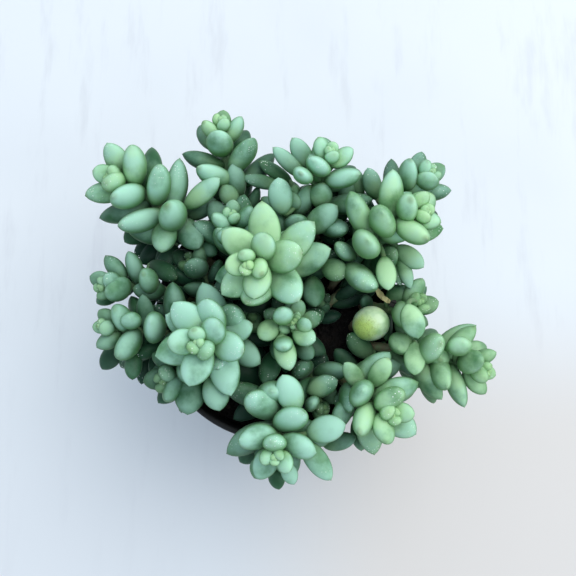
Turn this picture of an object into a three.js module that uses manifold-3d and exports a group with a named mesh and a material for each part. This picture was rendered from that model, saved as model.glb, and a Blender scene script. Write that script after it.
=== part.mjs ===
// Potted burro's tail: a small black nursery pot, its soil, and a crowd of leafy stems.
// Millimetres, +Z up, origin at the centre of the pot's flat underside.
import * as THREE from 'three';
import { mergeVertices } from 'three/addons/utils/BufferGeometryUtils.js';
import Module from 'manifold-3d';

const wasm = await Module();
wasm.setup();

// Pot
const POT_HEIGHT = 80;
const RIM_RADIUS = 45;
const FOOT_RADIUS = 32;
const WALL = 1.4;
const RIM_BAND = 9;        // height of the band that the rim is rolled into
const RIM_STEP = 1.6;      // how far that band stands out of the wall
const EDGE_ROUND = 0.7;    // bevel at the foot and at the rim
const POT_SIDES = 32;
const DRAIN_HOLES = 6;
const DRAIN_RADIUS = 2.6;
const DRAIN_SIDES = 6;
const DRAIN_CIRCLE = 21;   // radius of the ring of drain holes

// Soil
const SOIL_TOP = 69;
const SOIL_CROWN = 2.5;    // how much higher the soil lies at the middle of the pot
const SOIL_RING = 24;      // radius at which the crown of the soil breaks its slope
const SEAT_GAP = 0.3;      // clearance between neighbouring pieces

// Stems
const STEM_RADIUS = 1.7;
const STEM_SIDES = 5;
const HOLE_SIDES = 6;      // of the plain holes that stems stand in
const STEM_STEPS = 6;
const BURIED = 9;          // straight stretch of each stem below the soil line
const FOOT_PULL = 0.36;    // how long a stem rises upright, as a share of its span
const TIP_PULL = 0.34;     // how long it holds its final lean, as a share of its span
const SPINE_STEPS = 80;
const BUD_LENGTH = 5;      // the tube ends this far below the growing tip
const BUD_FOOT = 0.95;     // radius of the bud's core at its foot, as a share of the stem's
const BUD_SHOULDER = 0.8;  // and where it starts to close,
const SHOULDER_SHARE = 0.6;  // at this share of its length
const LOWEST_LEAF = 5;     // bare stem above the soil

// Leaves
const GOLDEN_ANGLE = 137.508;
const BUD_SHARE = 0.2;     // size of the youngest leaf, as a share of a full one
const BUD_SLIM = 0.62;     // young leaves are rounder by this share
const BUD_THICK = 0.9;     // thickness of the youngest leaf, as a share of its width
const FULL_THICK = 0.78;   // and of a full one
const BUD_TILT = 14;       // degrees between the youngest leaf and the stem
const BUD_PITCH = 0.25;    // pitch in the bud, as a share of the pitch between full leaves
const PITCH_AGES = 4;      // the pitch widens over about this many leaves
const EASED = 0.5;         // share of a leaf's growth that starts and ends slowly
const OPENING_AGE = 7.5;   // leaves opened by this count from the tip
const OPENING_POWER = 1.7;
const LATE_AGES = 6;       // past full size a leaf still grows over this many more leaves,
const LATE_WIDTH = 0.06;   // wider by this share
const LATE_LENGTH = 0.22;  // and longer by this one
const ROOT_OUT = 0.6;      // a leaf's root lies this far off the middle of the stem,
const ROOT_AGES = 4;       // from this age on
const SIZE_DRAW = 0.05;    // leaves differ in size by up to this share
const TURN_DRAW = 3;       // and in tilt and turn by up to this many degrees
const LEAF_ARCH = 0.08;    // rise of the tip, as a share of the length
const BASE_POWER = 0.62;   // fullness of the leaf's outline towards its root
const TIP_POWER = 0.60;    // fullness towards its tip
const FACET_SWELL = 1.06;  // makes up for the flats of a few-sided leaf
const LEAF_GAP = 0.35;     // least clearance to a neighbouring stem's leaves
const LEAF_SIDES = 5;
const LEAF_SHARES = [0.3, 0.74];         // where along a leaf its rings stand
const YOUNG_AGE = 6;       // leaves younger than this have fewer faces
const YOUNG_SIDES = 4;
const YOUNG_SHARES = [0.52];
const BUD_AGE = 2;         // the first leaves are only part of the bud's core
const BUD_SIDES = 5;
const BALL_SHARES = [0.13, 0.3, 0.5, 0.7, 0.88];  // where along a leaf its clearance is tried
const FIRST_SEED = 41;
const MERGE_WITHIN = 1e-5; // points nearer than this are one

// One row a stem: where it stands in the soil, its growing tip, how far the tip leans from
// upright and towards which heading (degrees from +X towards +Y), the turn of its first leaf,
// the hand of its spiral, a full leaf's width and slimness, the pitch between full leaves, the
// age at which leaves are full size, how far they open, and how many there are.
const STEMS = [
  { name: 'stem_crown', foot: [1, 13], tip: [-9, 11, 118], lean: 38, heading: -119,
    turn: 297, hand: -1, width: 10.1, slim: 1.75, pitch: 2, full: 10, spread: 66, leaves: 24 },
  { name: 'stem_front_left', foot: [-15, -8], tip: [-25, -13, 112], lean: 11, heading: -120,
    turn: 283, hand: -1, width: 9.6, slim: 1.65, pitch: 1.6, full: 8.5, spread: 68, leaves: 21 },
  { name: 'stem_middle', foot: [2, -7], tip: [5.5, -5, 100], lean: 14, heading: -119,
    turn: 318, hand: -1, width: 7, slim: 1.95, pitch: 1.9, full: 11, spread: 78, leaves: 16 },
  { name: 'stem_front', foot: [-2, -26], tip: [-0.5, -49, 102], lean: 20, heading: -117,
    turn: 350, hand: 1, width: 9.8, slim: 1.75, pitch: 1.8, full: 9.5, spread: 72, leaves: 20 },
  { name: 'stem_front_right', foot: [21, -21], tip: [38, -35.5, 100], lean: 17, heading: 0,
    turn: 335, hand: -1, width: 9.3, slim: 1.7, pitch: 1.8, full: 8, spread: 60, leaves: 20 },
  { name: 'stem_right', foot: [29, -10], tip: [71.5, -20.5, 92], lean: 45, heading: -25,
    turn: 152, hand: -1, width: 8.6, slim: 1.8, pitch: 1.8, full: 9, spread: 66, leaves: 19 },
  { name: 'stem_back_right', foot: [20, 12], tip: [49.5, 31.5, 108], lean: 39, heading: -19,
    turn: 74, hand: -1, width: 9.8, slim: 1.7, pitch: 1.9, full: 9.5, spread: 60, leaves: 23 },
  { name: 'stem_back_right_low', foot: [24, 21], tip: [54, 48.5, 99], lean: 11, heading: -1,
    turn: 140, hand: -1, width: 8.2, slim: 1.65, pitch: 1.9, full: 9, spread: 48, leaves: 16 },
  { name: 'stem_back_left', foot: [-9, 28], tip: [-20, 67, 100], lean: 23, heading: 64,
    turn: 112, hand: 1, width: 8.8, slim: 1.75, pitch: 2.2, full: 9, spread: 60, leaves: 19 },
  { name: 'stem_back', foot: [15, 28], tip: [18.4, 53.8, 105], lean: 14, heading: 51,
    turn: 114, hand: -1, width: 8.4, slim: 1.65, pitch: 2.1, full: 8, spread: 68, leaves: 20 },
  { name: 'stem_left_high', foot: [-22, 17], tip: [-57, 45, 104], lean: 25, heading: -138,
    turn: 333, hand: 1, width: 9.6, slim: 1.65, pitch: 2.1, full: 7, spread: 60, leaves: 22 },
  { name: 'stem_left_low', foot: [-28, 6], tip: [-60.9, 7.9, 96], lean: 27, heading: -125,
    turn: 254, hand: -1, width: 7.8, slim: 1.6, pitch: 1.7, full: 9.5, spread: 59, leaves: 14 },
  { name: 'stem_left', foot: [-28, -8], tip: [-60.2, -5.2, 95], lean: 39, heading: 173,
    turn: 141, hand: 1, width: 10.1, slim: 1.65, pitch: 2.2, full: 9.5, spread: 71, leaves: 18 },
  { name: 'stem_left_front', foot: [-22, -20], tip: [-39, -24, 92], lean: 27, heading: -127,
    turn: 85, hand: 1, width: 8, slim: 1.6, pitch: 1.7, full: 7.5, spread: 50, leaves: 15 },
  { name: 'stem_inner_left', foot: [-12, 16], tip: [-16, 33, 98], lean: 11, heading: 41,
    turn: 113, hand: 1, width: 8.4, slim: 1.75, pitch: 1.7, full: 9, spread: 57, leaves: 14 },
  { name: 'stem_inner_back', foot: [6, 21], tip: [8.5, 41, 93], lean: 26, heading: -15,
    turn: 350, hand: -1, width: 8.2, slim: 1.7, pitch: 1.9, full: 8, spread: 59, leaves: 14 },
  { name: 'stem_inner_right', foot: [32, 5], tip: [49.5, 3, 93], lean: 34, heading: 85,
    turn: 124, hand: -1, width: 8.4, slim: 1.75, pitch: 1.5, full: 9.5, spread: 62, leaves: 12 },
  { name: 'stem_inner_middle', foot: [16, 3], tip: [39.5, 16.5, 88], lean: 27, heading: -51,
    turn: 107, hand: -1, width: 8.8, slim: 1.9, pitch: 1.8, full: 7, spread: 49, leaves: 12 },
  { name: 'stem_inner_front', foot: [9, -17], tip: [13.5, -27, 85], lean: 36, heading: -117,
    turn: 66, hand: -1, width: 8, slim: 1.8, pitch: 1.5, full: 8, spread: 62, leaves: 11 },
  { name: 'stem_inner_side', foot: [-20, 4], tip: [-31, 18.5, 88], lean: 16, heading: -168,
    turn: 40, hand: 1, width: 8.4, slim: 1.7, pitch: 1.7, full: 7.5, spread: 62, leaves: 10 },
];

// A swollen yellowing leaf that stands on a stub of old stem
const OLD_LEAF = {
  name: 'old_leaf', foot: [28, -3], root: [29.5, -3.5, 79], lean: 10, heading: -12,
  width: 12.6, length: 17, radius: STEM_RADIUS, sunk: 3,
};
const OLD_THICK = 0.95;
const OLD_SIDES = 8;
const OLD_SHARES = [0.12, 0.35, 0.65, 0.88];

const RAD = Math.PI / 180;

// Seeded draws from -1 to 1, the same on each run
function draws(seed) {
  let state = seed >>> 0;
  return () => {
    state = (Math.imul(state, 1664525) + 1013904223) >>> 0;
    return state / 2 ** 31 - 1;
  };
}

// A closed solid from a geometry whose shared vertices are merged
function solidOf(geometry) {
  const bare = geometry.clone();
  bare.deleteAttribute('normal');
  bare.deleteAttribute('uv');
  const merged = mergeVertices(bare, MERGE_WITHIN);
  const index = merged.index.array;
  const kept = [];
  for (let i = 0; i < index.length; i += 3) {
    const [a, b, c] = [index[i], index[i + 1], index[i + 2]];
    if (a !== b && b !== c && c !== a) kept.push(a, b, c);
  }
  const mesh = new wasm.Mesh({
    numProp: 3,
    vertProperties: new Float32Array(merged.attributes.position.array),
    triVerts: new Uint32Array(kept),
  });
  return new wasm.Manifold(mesh);
}

// The largest shell of a solid as a geometry: sealed gaps are filled and loose scraps dropped
function geometryOf(solid) {
  const mesh = solid.getMesh();
  const { vertProperties, triVerts } = mesh;
  const parent = Array.from({ length: vertProperties.length / 3 }, (_, i) => i);
  const find = (i) => {
    while (parent[i] !== i) {
      parent[i] = parent[parent[i]];
      i = parent[i];
    }
    return i;
  };
  for (let i = 0; i < triVerts.length; i += 3) {
    parent[find(triVerts[i])] = find(triVerts[i + 1]);
    parent[find(triVerts[i + 1])] = find(triVerts[i + 2]);
  }
  const counts = new Map();
  for (let i = 0; i < triVerts.length; i += 3) {
    const shell = find(triVerts[i]);
    counts.set(shell, (counts.get(shell) ?? 0) + 1);
  }
  const [largest] = [...counts.entries()].sort((a, b) => b[1] - a[1])[0];
  const kept = [];
  for (let i = 0; i < triVerts.length; i += 3) {
    if (find(triVerts[i]) === largest) kept.push(triVerts[i], triVerts[i + 1], triVerts[i + 2]);
  }
  const geometry = new THREE.BufferGeometry();
  geometry.setAttribute('position', new THREE.BufferAttribute(vertProperties, 3));
  geometry.setIndex(kept);
  return geometry;
}

// A mesh of the object, named and coloured
function piece(name, geometry, color, roughness) {
  geometry.computeVertexNormals();
  const material = new THREE.MeshStandardMaterial({ color, roughness, metalness: 0 });
  const mesh = new THREE.Mesh(geometry, material);
  mesh.name = name;
  return mesh;
}

// A turned solid about +Z from an outline of [radius, height] pairs
function turned(outline, sides) {
  const points = outline.map(([radius, height]) => new THREE.Vector2(radius, height));
  const geometry = new THREE.LatheGeometry(points, sides);
  geometry.rotateX(Math.PI / 2);
  return geometry;
}

// Radius of the pot's outer wall at a height below the rim band
function wallRadius(height) {
  const top = RIM_RADIUS - RIM_STEP;
  return FOOT_RADIUS + (top - FOOT_RADIUS) * (height / (POT_HEIGHT - RIM_BAND));
}

function potGeometry() {
  const bandFoot = POT_HEIGHT - RIM_BAND;
  const inner = (height) => wallRadius(height) - WALL;
  const outline = [
    [0, 0],
    [FOOT_RADIUS - EDGE_ROUND, 0],
    [wallRadius(EDGE_ROUND), EDGE_ROUND],
    [wallRadius(bandFoot), bandFoot],
    [RIM_RADIUS - EDGE_ROUND, bandFoot],
    [RIM_RADIUS, bandFoot + EDGE_ROUND],
    [RIM_RADIUS, POT_HEIGHT - EDGE_ROUND],
    [RIM_RADIUS - EDGE_ROUND, POT_HEIGHT],
    [RIM_RADIUS - RIM_STEP, POT_HEIGHT],
    [inner(bandFoot) + EDGE_ROUND, POT_HEIGHT - EDGE_ROUND],
    [inner(bandFoot), bandFoot],
    [inner(WALL), WALL],
    [0, WALL],
  ];
  let pot = solidOf(turned(outline, POT_SIDES));
  for (let i = 0; i < DRAIN_HOLES; i++) {
    const angle = (i + 0.5) / DRAIN_HOLES * 2 * Math.PI;
    const drill = new THREE.CylinderGeometry(DRAIN_RADIUS, DRAIN_RADIUS, 4 * WALL, DRAIN_SIDES);
    drill.rotateX(Math.PI / 2);
    drill.translate(DRAIN_CIRCLE * Math.cos(angle), DRAIN_CIRCLE * Math.sin(angle), WALL / 2);
    pot = pot.subtract(solidOf(drill));
  }
  return geometryOf(pot);
}

// The soil's surface height at a distance from the pot's axis
function soilHeight(radius) {
  const share = radius / (wallRadius(SOIL_TOP) - WALL);
  return SOIL_TOP + SOIL_CROWN * Math.max(0, 1 - share * share);
}

function soilGeometry(stems) {
  const edge = (height) => wallRadius(height) - WALL - SEAT_GAP;
  const foot = WALL + SEAT_GAP;
  const outline = [[0, foot], [edge(foot), foot], [edge(SOIL_TOP), SOIL_TOP]];
  outline.push([SOIL_RING, soilHeight(SOIL_RING)]);
  outline.push([0, soilHeight(0)]);
  let soil = solidOf(turned(outline, POT_SIDES));
  for (const stem of stems) {
    const bore = (stem.radius + SEAT_GAP) / Math.cos(Math.PI / HOLE_SIDES);
    const depth = BURIED + SEAT_GAP;
    const drill = new THREE.CylinderGeometry(bore, bore, depth + 2 * SOIL_CROWN, HOLE_SIDES);
    drill.rotateX(Math.PI / 2);
    drill.translate(stem.foot[0], stem.foot[1], SOIL_TOP + SOIL_CROWN - depth / 2);
    soil = soil.subtract(solidOf(drill));
  }
  return geometryOf(soil);
}

// Unit vector that leans from upright by an angle, towards a heading
function leaning(lean, heading) {
  return new THREE.Vector3(
    Math.sin(lean * RAD) * Math.cos(heading * RAD),
    Math.sin(lean * RAD) * Math.sin(heading * RAD),
    Math.cos(lean * RAD),
  );
}

// The line of a stem above the soil, sampled from its tip down, with the length to each sample
function spineOf(stem) {
  const tip = new THREE.Vector3(...stem.tip);
  const ground = new THREE.Vector3(stem.foot[0], stem.foot[1], SOIL_TOP + SOIL_CROWN);
  const span = tip.distanceTo(ground);
  const axis = leaning(stem.lean, stem.heading);
  const line = new THREE.CubicBezierCurve3(
    tip,
    tip.clone().addScaledVector(axis, -TIP_PULL * span),
    ground.clone().add(new THREE.Vector3(0, 0, FOOT_PULL * span)),
    ground,
  );
  const points = line.getPoints(SPINE_STEPS);
  const lengths = [0];
  for (let i = 1; i < points.length; i++) {
    lengths.push(lengths[i - 1] + points[i].distanceTo(points[i - 1]));
  }
  return { points, lengths, total: lengths[lengths.length - 1] };
}

// Place on the spine at a length from the tip, and the direction of growth there
function along(spine, length) {
  const { points, lengths } = spine;
  let i = 1;
  while (i < points.length - 1 && lengths[i] < length) i++;
  const share = (length - lengths[i - 1]) / (lengths[i] - lengths[i - 1]);
  const point = points[i - 1].clone().lerp(points[i], share);
  const growth = points[i - 1].clone().sub(points[i]).normalize();
  return { point, growth };
}

// The middle line of a stem's tube: up out of the soil, then along the spine to below the bud
class TubeLine extends THREE.Curve {
  constructor(spine) {
    super();
    this.spine = spine;
    this.length = BURIED + spine.total - BUD_LENGTH;
  }

  getPoint(share, target = new THREE.Vector3()) {
    const run = share * this.length;
    if (run <= BURIED) {
      const ground = this.spine.points[this.spine.points.length - 1];
      return target.copy(ground).setZ(ground.z - BURIED + run);
    }
    return target.copy(along(this.spine, this.spine.total - (run - BURIED)).point);
  }
}

// Outline of a leaf: half width, as a share of the widest, at a share of its length
function leafOutline(share) {
  const widest = BASE_POWER / (BASE_POWER + TIP_POWER);
  const peak = widest ** BASE_POWER * (1 - widest) ** TIP_POWER;
  return share ** BASE_POWER * (1 - share) ** TIP_POWER / peak;
}

// A leaf's place, size and direction, from its age: 0 is the youngest, at the tip
function leafPlan(stem, age, draw, nudge) {
  const growthShare = Math.min(1, age / stem.full);
  const eased = growthShare * growthShare * (3 - 2 * growthShare);
  const grownBy = (1 - EASED) * growthShare + EASED * eased;
  const size = (BUD_SHARE + (1 - BUD_SHARE) * grownBy) * (1 + SIZE_DRAW * draw.size);
  const late = Math.min(1, Math.max(0, age - stem.full) / LATE_AGES);
  const width = stem.width * size * (1 + LATE_WIDTH * late) * nudge.scale;
  const slim = stem.slim * (BUD_SLIM + (1 - BUD_SLIM) * growthShare) * (1 + LATE_LENGTH * late);
  const length = width * slim;
  const opened = 1 - Math.exp(-((age / OPENING_AGE) ** OPENING_POWER));
  const tilt = (BUD_TILT + stem.spread * opened + TURN_DRAW * draw.tilt + nudge.tilt) * RAD;
  const spiral = stem.turn + stem.hand * GOLDEN_ANGLE * age;
  const turn = (spiral + TURN_DRAW * draw.turn + nudge.turn) * RAD;
  const { point, growth } = along(stem.spine, stem.places[age]);
  const side = new THREE.Vector3(1, 0, 0).addScaledVector(growth, -growth.x).normalize();
  const front = growth.clone().cross(side);
  const out = side.multiplyScalar(Math.cos(turn)).addScaledVector(front, Math.sin(turn));
  const root = point.addScaledVector(out, ROOT_OUT * Math.min(1, age / ROOT_AGES));
  const run = growth.clone().multiplyScalar(Math.cos(tilt)).addScaledVector(out, Math.sin(tilt));
  const face = growth.clone().multiplyScalar(Math.sin(tilt)).addScaledVector(out, -Math.cos(tilt));
  const thick = width * (BUD_THICK + (FULL_THICK - BUD_THICK) * growthShare);
  return { root, run, face, width, length, thick, age };
}

// Lengths from the tip at which a stem's leaves stand: close together in the bud, then evenly
function leafPlaces(stem, spine) {
  const places = [];
  let length = 0;
  for (let age = 0; age < stem.leaves && length < spine.total - LOWEST_LEAF; age++) {
    places.push(length);
    length += stem.pitch * (1 - (1 - BUD_PITCH) * Math.exp(-age / PITCH_AGES));
  }
  return places;
}

// Balls that hold a leaf, for keeping it clear of its neighbours
function leafBalls(leaf) {
  return BALL_SHARES.map((share) => ({
    centre: leaf.root.clone()
      .addScaledVector(leaf.run, share * leaf.length)
      .addScaledVector(leaf.face, LEAF_ARCH * leaf.length * share * share),
    radius: leafOutline(share) * FACET_SWELL * leaf.width / 2,
  }));
}

// Balls that hold the bare line of a stem, bud and all
function tubeBalls(stem) {
  const balls = [];
  for (let length = 0; length < stem.spine.total; length += stem.radius) {
    balls.push({ centre: along(stem.spine, length).point, radius: stem.radius });
  }
  return balls;
}

// True where a ball lies clear of the pot's wall and rim and of the soil
function clearOfPot({ centre, radius }) {
  const out = Math.hypot(centre.x, centre.y);
  const inner = wallRadius(SOIL_TOP) - WALL;
  const beside = Math.max(inner - out, out - RIM_RADIUS, 0);
  const above = Math.max(centre.z - POT_HEIGHT, 0);
  if (Math.hypot(beside, above) < radius + LEAF_GAP) return false;
  return out > RIM_RADIUS || centre.z - radius > soilHeight(out) + LEAF_GAP;
}

// The swollen old leaf, upright on its stub of stem
function oldLeafPlan() {
  const run = leaning(OLD_LEAF.lean, OLD_LEAF.heading);
  const face = new THREE.Vector3(1, 0, 0).addScaledVector(run, -run.x).normalize();
  const root = new THREE.Vector3(...OLD_LEAF.root);
  const { width, length } = OLD_LEAF;
  return { root, run, face, width, length, thick: width * OLD_THICK };
}

// True where balls lie clear of everything that other stems already take up
function clearOfOthers(balls, owner, taken) {
  return balls.every(({ centre, radius }) => taken.every((other) => other.owner === owner
    || centre.distanceTo(other.centre) > radius + other.radius + LEAF_GAP));
}

// Small changes of place, from none to the largest, that bend a leaf clear of a neighbour
function nudges() {
  const list = [];
  for (const scale of [1, 0.88, 0.76, 0.64]) {
    for (const tilt of [0, -12, 12, -24, -36]) {
      for (const turn of [0, 12, -12]) list.push({ scale, tilt, turn });
    }
  }
  return list;
}

// Gives every stem its leaves, the youngest of all stems first, each bent clear of the others
function growLeaves(stems) {
  const taken = [];
  for (const stem of stems) {
    for (const ball of tubeBalls(stem)) taken.push({ ...ball, owner: stem });
  }
  for (const ball of leafBalls(oldLeafPlan())) taken.push({ ...ball, owner: OLD_LEAF });
  for (let height = SOIL_TOP; height < OLD_LEAF.root[2]; height += STEM_RADIUS) {
    const centre = new THREE.Vector3(OLD_LEAF.foot[0], OLD_LEAF.foot[1], height);
    taken.push({ centre, radius: STEM_RADIUS, owner: OLD_LEAF });
  }
  const oldest = Math.max(...stems.map((stem) => stem.places.length));
  for (let age = 0; age < oldest; age++) {
    for (const stem of stems.filter((one) => age < one.places.length)) {
      const draw = { size: stem.draw(), tilt: stem.draw(), turn: stem.draw() };
      for (const nudge of nudges()) {
        const leaf = leafPlan(stem, age, draw, nudge);
        const balls = leafBalls(leaf);
        if (balls.every(clearOfPot) && clearOfOthers(balls, stem, taken)) {
          stem.grown.push(leaf);
          for (const ball of balls) taken.push({ ...ball, owner: stem });
          break;
        }
      }
    }
  }
}

// A leaf as a few-sided solid, its root sunk into the stem
function leafSolid(leaf, sides, shares) {
  const outline = [0, ...shares, 1].map((share) => (
    new THREE.Vector2(leafOutline(share) * FACET_SWELL, share)));
  const geometry = new THREE.LatheGeometry(outline, sides);
  geometry.scale(leaf.width / 2, leaf.length, leaf.thick / 2);
  const place = geometry.attributes.position;
  for (let i = 0; i < place.count; i++) {
    const share = place.getY(i) / leaf.length;
    place.setZ(i, place.getZ(i) + LEAF_ARCH * leaf.length * share * share);
  }
  const across = leaf.run.clone().cross(leaf.face);
  const matrix = new THREE.Matrix4().makeBasis(across, leaf.run, leaf.face).setPosition(leaf.root);
  return solidOf(geometry.applyMatrix4(matrix));
}

// The tube of a stem, from below the soil line to under the bud
function tubeSolid(stem) {
  const section = new THREE.Shape();
  for (let i = 0; i < STEM_SIDES; i++) {
    const angle = i / STEM_SIDES * 2 * Math.PI;
    const corner = [stem.radius * Math.cos(angle), stem.radius * Math.sin(angle)];
    if (i === 0) section.moveTo(...corner);
    else section.lineTo(...corner);
  }
  const path = new TubeLine(stem.spine);
  return solidOf(new THREE.ExtrudeGeometry(section, {
    steps: STEM_STEPS, bevelEnabled: false, extrudePath: path,
  }));
}

// The bud's core, which tapers from the tube to the growing tip
function budSolid(stem) {
  const length = BUD_LENGTH + stem.radius;
  const foot = new THREE.Vector2(stem.radius * BUD_FOOT, 0);
  const shoulder = new THREE.Vector2(stem.radius * BUD_SHOULDER, length * SHOULDER_SHARE);
  const outline = [new THREE.Vector2(0, 0), foot, shoulder, new THREE.Vector2(0, length)];
  const geometry = new THREE.LatheGeometry(outline, BUD_SIDES);
  const axis = leaning(stem.lean, stem.heading);
  const turn = new THREE.Quaternion().setFromUnitVectors(new THREE.Vector3(0, 1, 0), axis);
  geometry.applyQuaternion(turn);
  const start = new THREE.Vector3(...stem.tip).addScaledVector(axis, -length);
  geometry.translate(start.x, start.y, start.z);
  return solidOf(geometry);
}

function stemGeometry(stem) {
  let solid = tubeSolid(stem).add(budSolid(stem));
  for (const leaf of stem.grown.filter((one) => one.age >= BUD_AGE)) {
    const shape = leaf.age < YOUNG_AGE ? [YOUNG_SIDES, YOUNG_SHARES] : [LEAF_SIDES, LEAF_SHARES];
    solid = solid.add(leafSolid(leaf, ...shape));
  }
  return geometryOf(solid);
}

// The swollen old leaf and the stub that carries it
function oldLeafGeometry() {
  const leaf = oldLeafPlan();
  const foot = SOIL_TOP + SOIL_CROWN - BURIED;
  const height = leaf.root.z - foot + OLD_LEAF.sunk;
  const stub = new THREE.CylinderGeometry(STEM_RADIUS, STEM_RADIUS, height, STEM_SIDES);
  stub.rotateX(Math.PI / 2);
  stub.translate(OLD_LEAF.foot[0], OLD_LEAF.foot[1], foot + height / 2);
  return geometryOf(solidOf(stub).add(leafSolid(leaf, OLD_SIDES, OLD_SHARES)));
}

// Readies a row of the table: its line, the places of its leaves and its own draws
function prepared(row, order) {
  const stem = { ...row, radius: STEM_RADIUS, grown: [], draw: draws(FIRST_SEED + order) };
  stem.spine = spineOf(stem);
  stem.places = leafPlaces(stem, stem.spine);
  return stem;
}

const stems = STEMS.map(prepared);
growLeaves(stems);

const plant = new THREE.Group();
plant.add(piece('pot', potGeometry(), 0x15181a, 0.5));
plant.add(piece('soil', soilGeometry([...stems, OLD_LEAF]), 0x2a1f17, 0.95));
for (const stem of stems) plant.add(piece(stem.name, stemGeometry(stem), 0x8fbf9c, 0.55));
plant.add(piece(OLD_LEAF.name, oldLeafGeometry(), 0xb7d27f, 0.6));

export default plant;
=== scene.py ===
"""Looks of a potted burro's tail: fine leaves, stems, soil and pot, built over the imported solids.

The plant grows by the rule that its solids grow by, with lengths in millimetres. Meshes are in metres.
"""

import itertools
import logging
import math
from dataclasses import dataclass, field
from enum import Enum

import bpy
import numpy as np
from mathutils import Matrix, Vector


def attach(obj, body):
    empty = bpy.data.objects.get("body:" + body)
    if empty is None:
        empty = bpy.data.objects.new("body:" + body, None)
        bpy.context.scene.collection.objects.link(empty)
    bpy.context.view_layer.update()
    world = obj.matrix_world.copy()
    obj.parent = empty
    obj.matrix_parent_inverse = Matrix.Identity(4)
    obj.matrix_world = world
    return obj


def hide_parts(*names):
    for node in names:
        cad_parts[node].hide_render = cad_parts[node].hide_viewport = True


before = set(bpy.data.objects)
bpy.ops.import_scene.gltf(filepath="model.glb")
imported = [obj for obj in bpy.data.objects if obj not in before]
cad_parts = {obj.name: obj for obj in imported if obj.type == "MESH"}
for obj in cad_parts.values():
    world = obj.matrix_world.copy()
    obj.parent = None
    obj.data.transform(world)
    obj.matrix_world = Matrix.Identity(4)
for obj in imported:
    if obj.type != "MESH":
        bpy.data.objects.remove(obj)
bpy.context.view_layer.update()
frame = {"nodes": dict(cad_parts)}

LOG = logging.getLogger("burros_tail")
MM = 0.001
FULL_TURN = 2 * math.pi
GOLDEN_ANGLE = 137.508
GOLDEN_SHARE = (1 + math.sqrt(5)) / 2

# Types: Draw is a leaf's three draws, Balls middles and radii, and Shell points and faces
Array = np.ndarray
Colour = tuple[float, float, float]
Place = tuple[float, float, float]
Pair = tuple[float, float]
Pixel = Pair
Steps = tuple[float, ...]
Draw = tuple[float, float, float]
Balls = tuple[Array, Array]
Shell = tuple[Array, list[Array]]
Sockets = dict[str | int, object]
Rng = np.random.Generator
Material = bpy.types.Material
Piece = bpy.types.Object
Tree = bpy.types.NodeTree
Node = bpy.types.Node
Socket = bpy.types.NodeSocket


# Meshes


class Mark(Enum):
    """Numbers that a mesh carries at its points for its materials to read."""

    ALONG = "along"
    TONE = "tone"
    YOUTH = "youth"
    SPECKS = "specks"
    # Painted shade: how deep in the plant a leaf point lies, which darkens its colour.
    DEPTH = "depth"
    HUE = "hue"
    PATCH = "patch"


@dataclass
class MeshDraft:
    """Points, faces and marks gathered for one piece, in millimetres."""

    points: list[Array] = field(default_factory=list)
    faces: list[tuple[Array, int]] = field(default_factory=list)
    marks: dict[Mark, list[Array]] = field(default_factory=dict)
    size: int = 0

    def add(
        self,
        points: Array,
        faces: list[Array],
        material: int = 0,
        marks: dict[Mark, Array | float] | None = None,
    ) -> None:
        """Adds a closed shell.

        Args:
            points: one row of x, y, z a point.
            faces: arrays of point numbers, one row a face, each array with its own corner count.
            material: the piece's material slot that the faces take.
            marks: a value a point, or one for all of them, for each mark.
        """
        for block in faces:
            self.faces.append((block + self.size, material))
        self.points.append(points)
        for mark in Mark:
            value = (marks or {}).get(mark, 0.0)
            column = np.broadcast_to(np.asarray(value, float), (len(points),))
            self.marks.setdefault(mark, []).append(column)
        self.size += len(points)

    def build(self, name: str, materials: list[Material], smooth: bool = True) -> Piece:
        """Makes the piece.

        Args:
            name: the object's name.
            materials: its materials, in slot order.
            smooth: whether its faces are shaded smooth.

        Returns:
            The new mesh object.
        """
        mesh = bpy.data.meshes.new(name)
        points = np.concatenate(self.points) * MM
        corners = np.concatenate([block.ravel() for block, _ in self.faces])
        counts = np.concatenate([np.full(len(block), block.shape[1]) for block, _ in self.faces])
        slots = np.concatenate([np.full(len(block), slot) for block, slot in self.faces])
        mesh.vertices.add(len(points))
        mesh.vertices.foreach_set("co", points.astype(np.float32).ravel())
        mesh.loops.add(len(corners))
        mesh.loops.foreach_set("vertex_index", corners.astype(np.int32))
        mesh.polygons.add(len(counts))
        starts = np.concatenate([[0], np.cumsum(counts)[:-1]])
        mesh.polygons.foreach_set("loop_start", starts.astype(np.int32))
        mesh.polygons.foreach_set("material_index", slots.astype(np.int32))
        mesh.polygons.foreach_set("use_smooth", np.full(len(counts), smooth))
        mesh.update(calc_edges=True)
        mesh.validate()
        for mark, columns in self.marks.items():
            values = np.concatenate(columns)
            if values.any():
                layer = mesh.attributes.new(mark.value, "FLOAT", "POINT")
                layer.data.foreach_set("value", values.astype(np.float32))
        for material in materials:
            mesh.materials.append(material)
        piece = bpy.data.objects.new(name, mesh)
        bpy.context.scene.collection.objects.link(piece)
        return piece


def unit(vector: Array) -> Array:
    """The vector scaled to length one."""
    return vector / np.linalg.norm(vector)


def reached(value: Array | float, start: float, stop: float) -> Array:
    """How much of the way from start to stop a value has gone, from 0 to 1."""
    return np.clip((value - start) / (stop - start), 0.0, 1.0)


def round_angles(sides: int) -> Array:
    """Even angles round a circle, in radians."""
    return np.arange(sides) / sides * FULL_TURN


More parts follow.
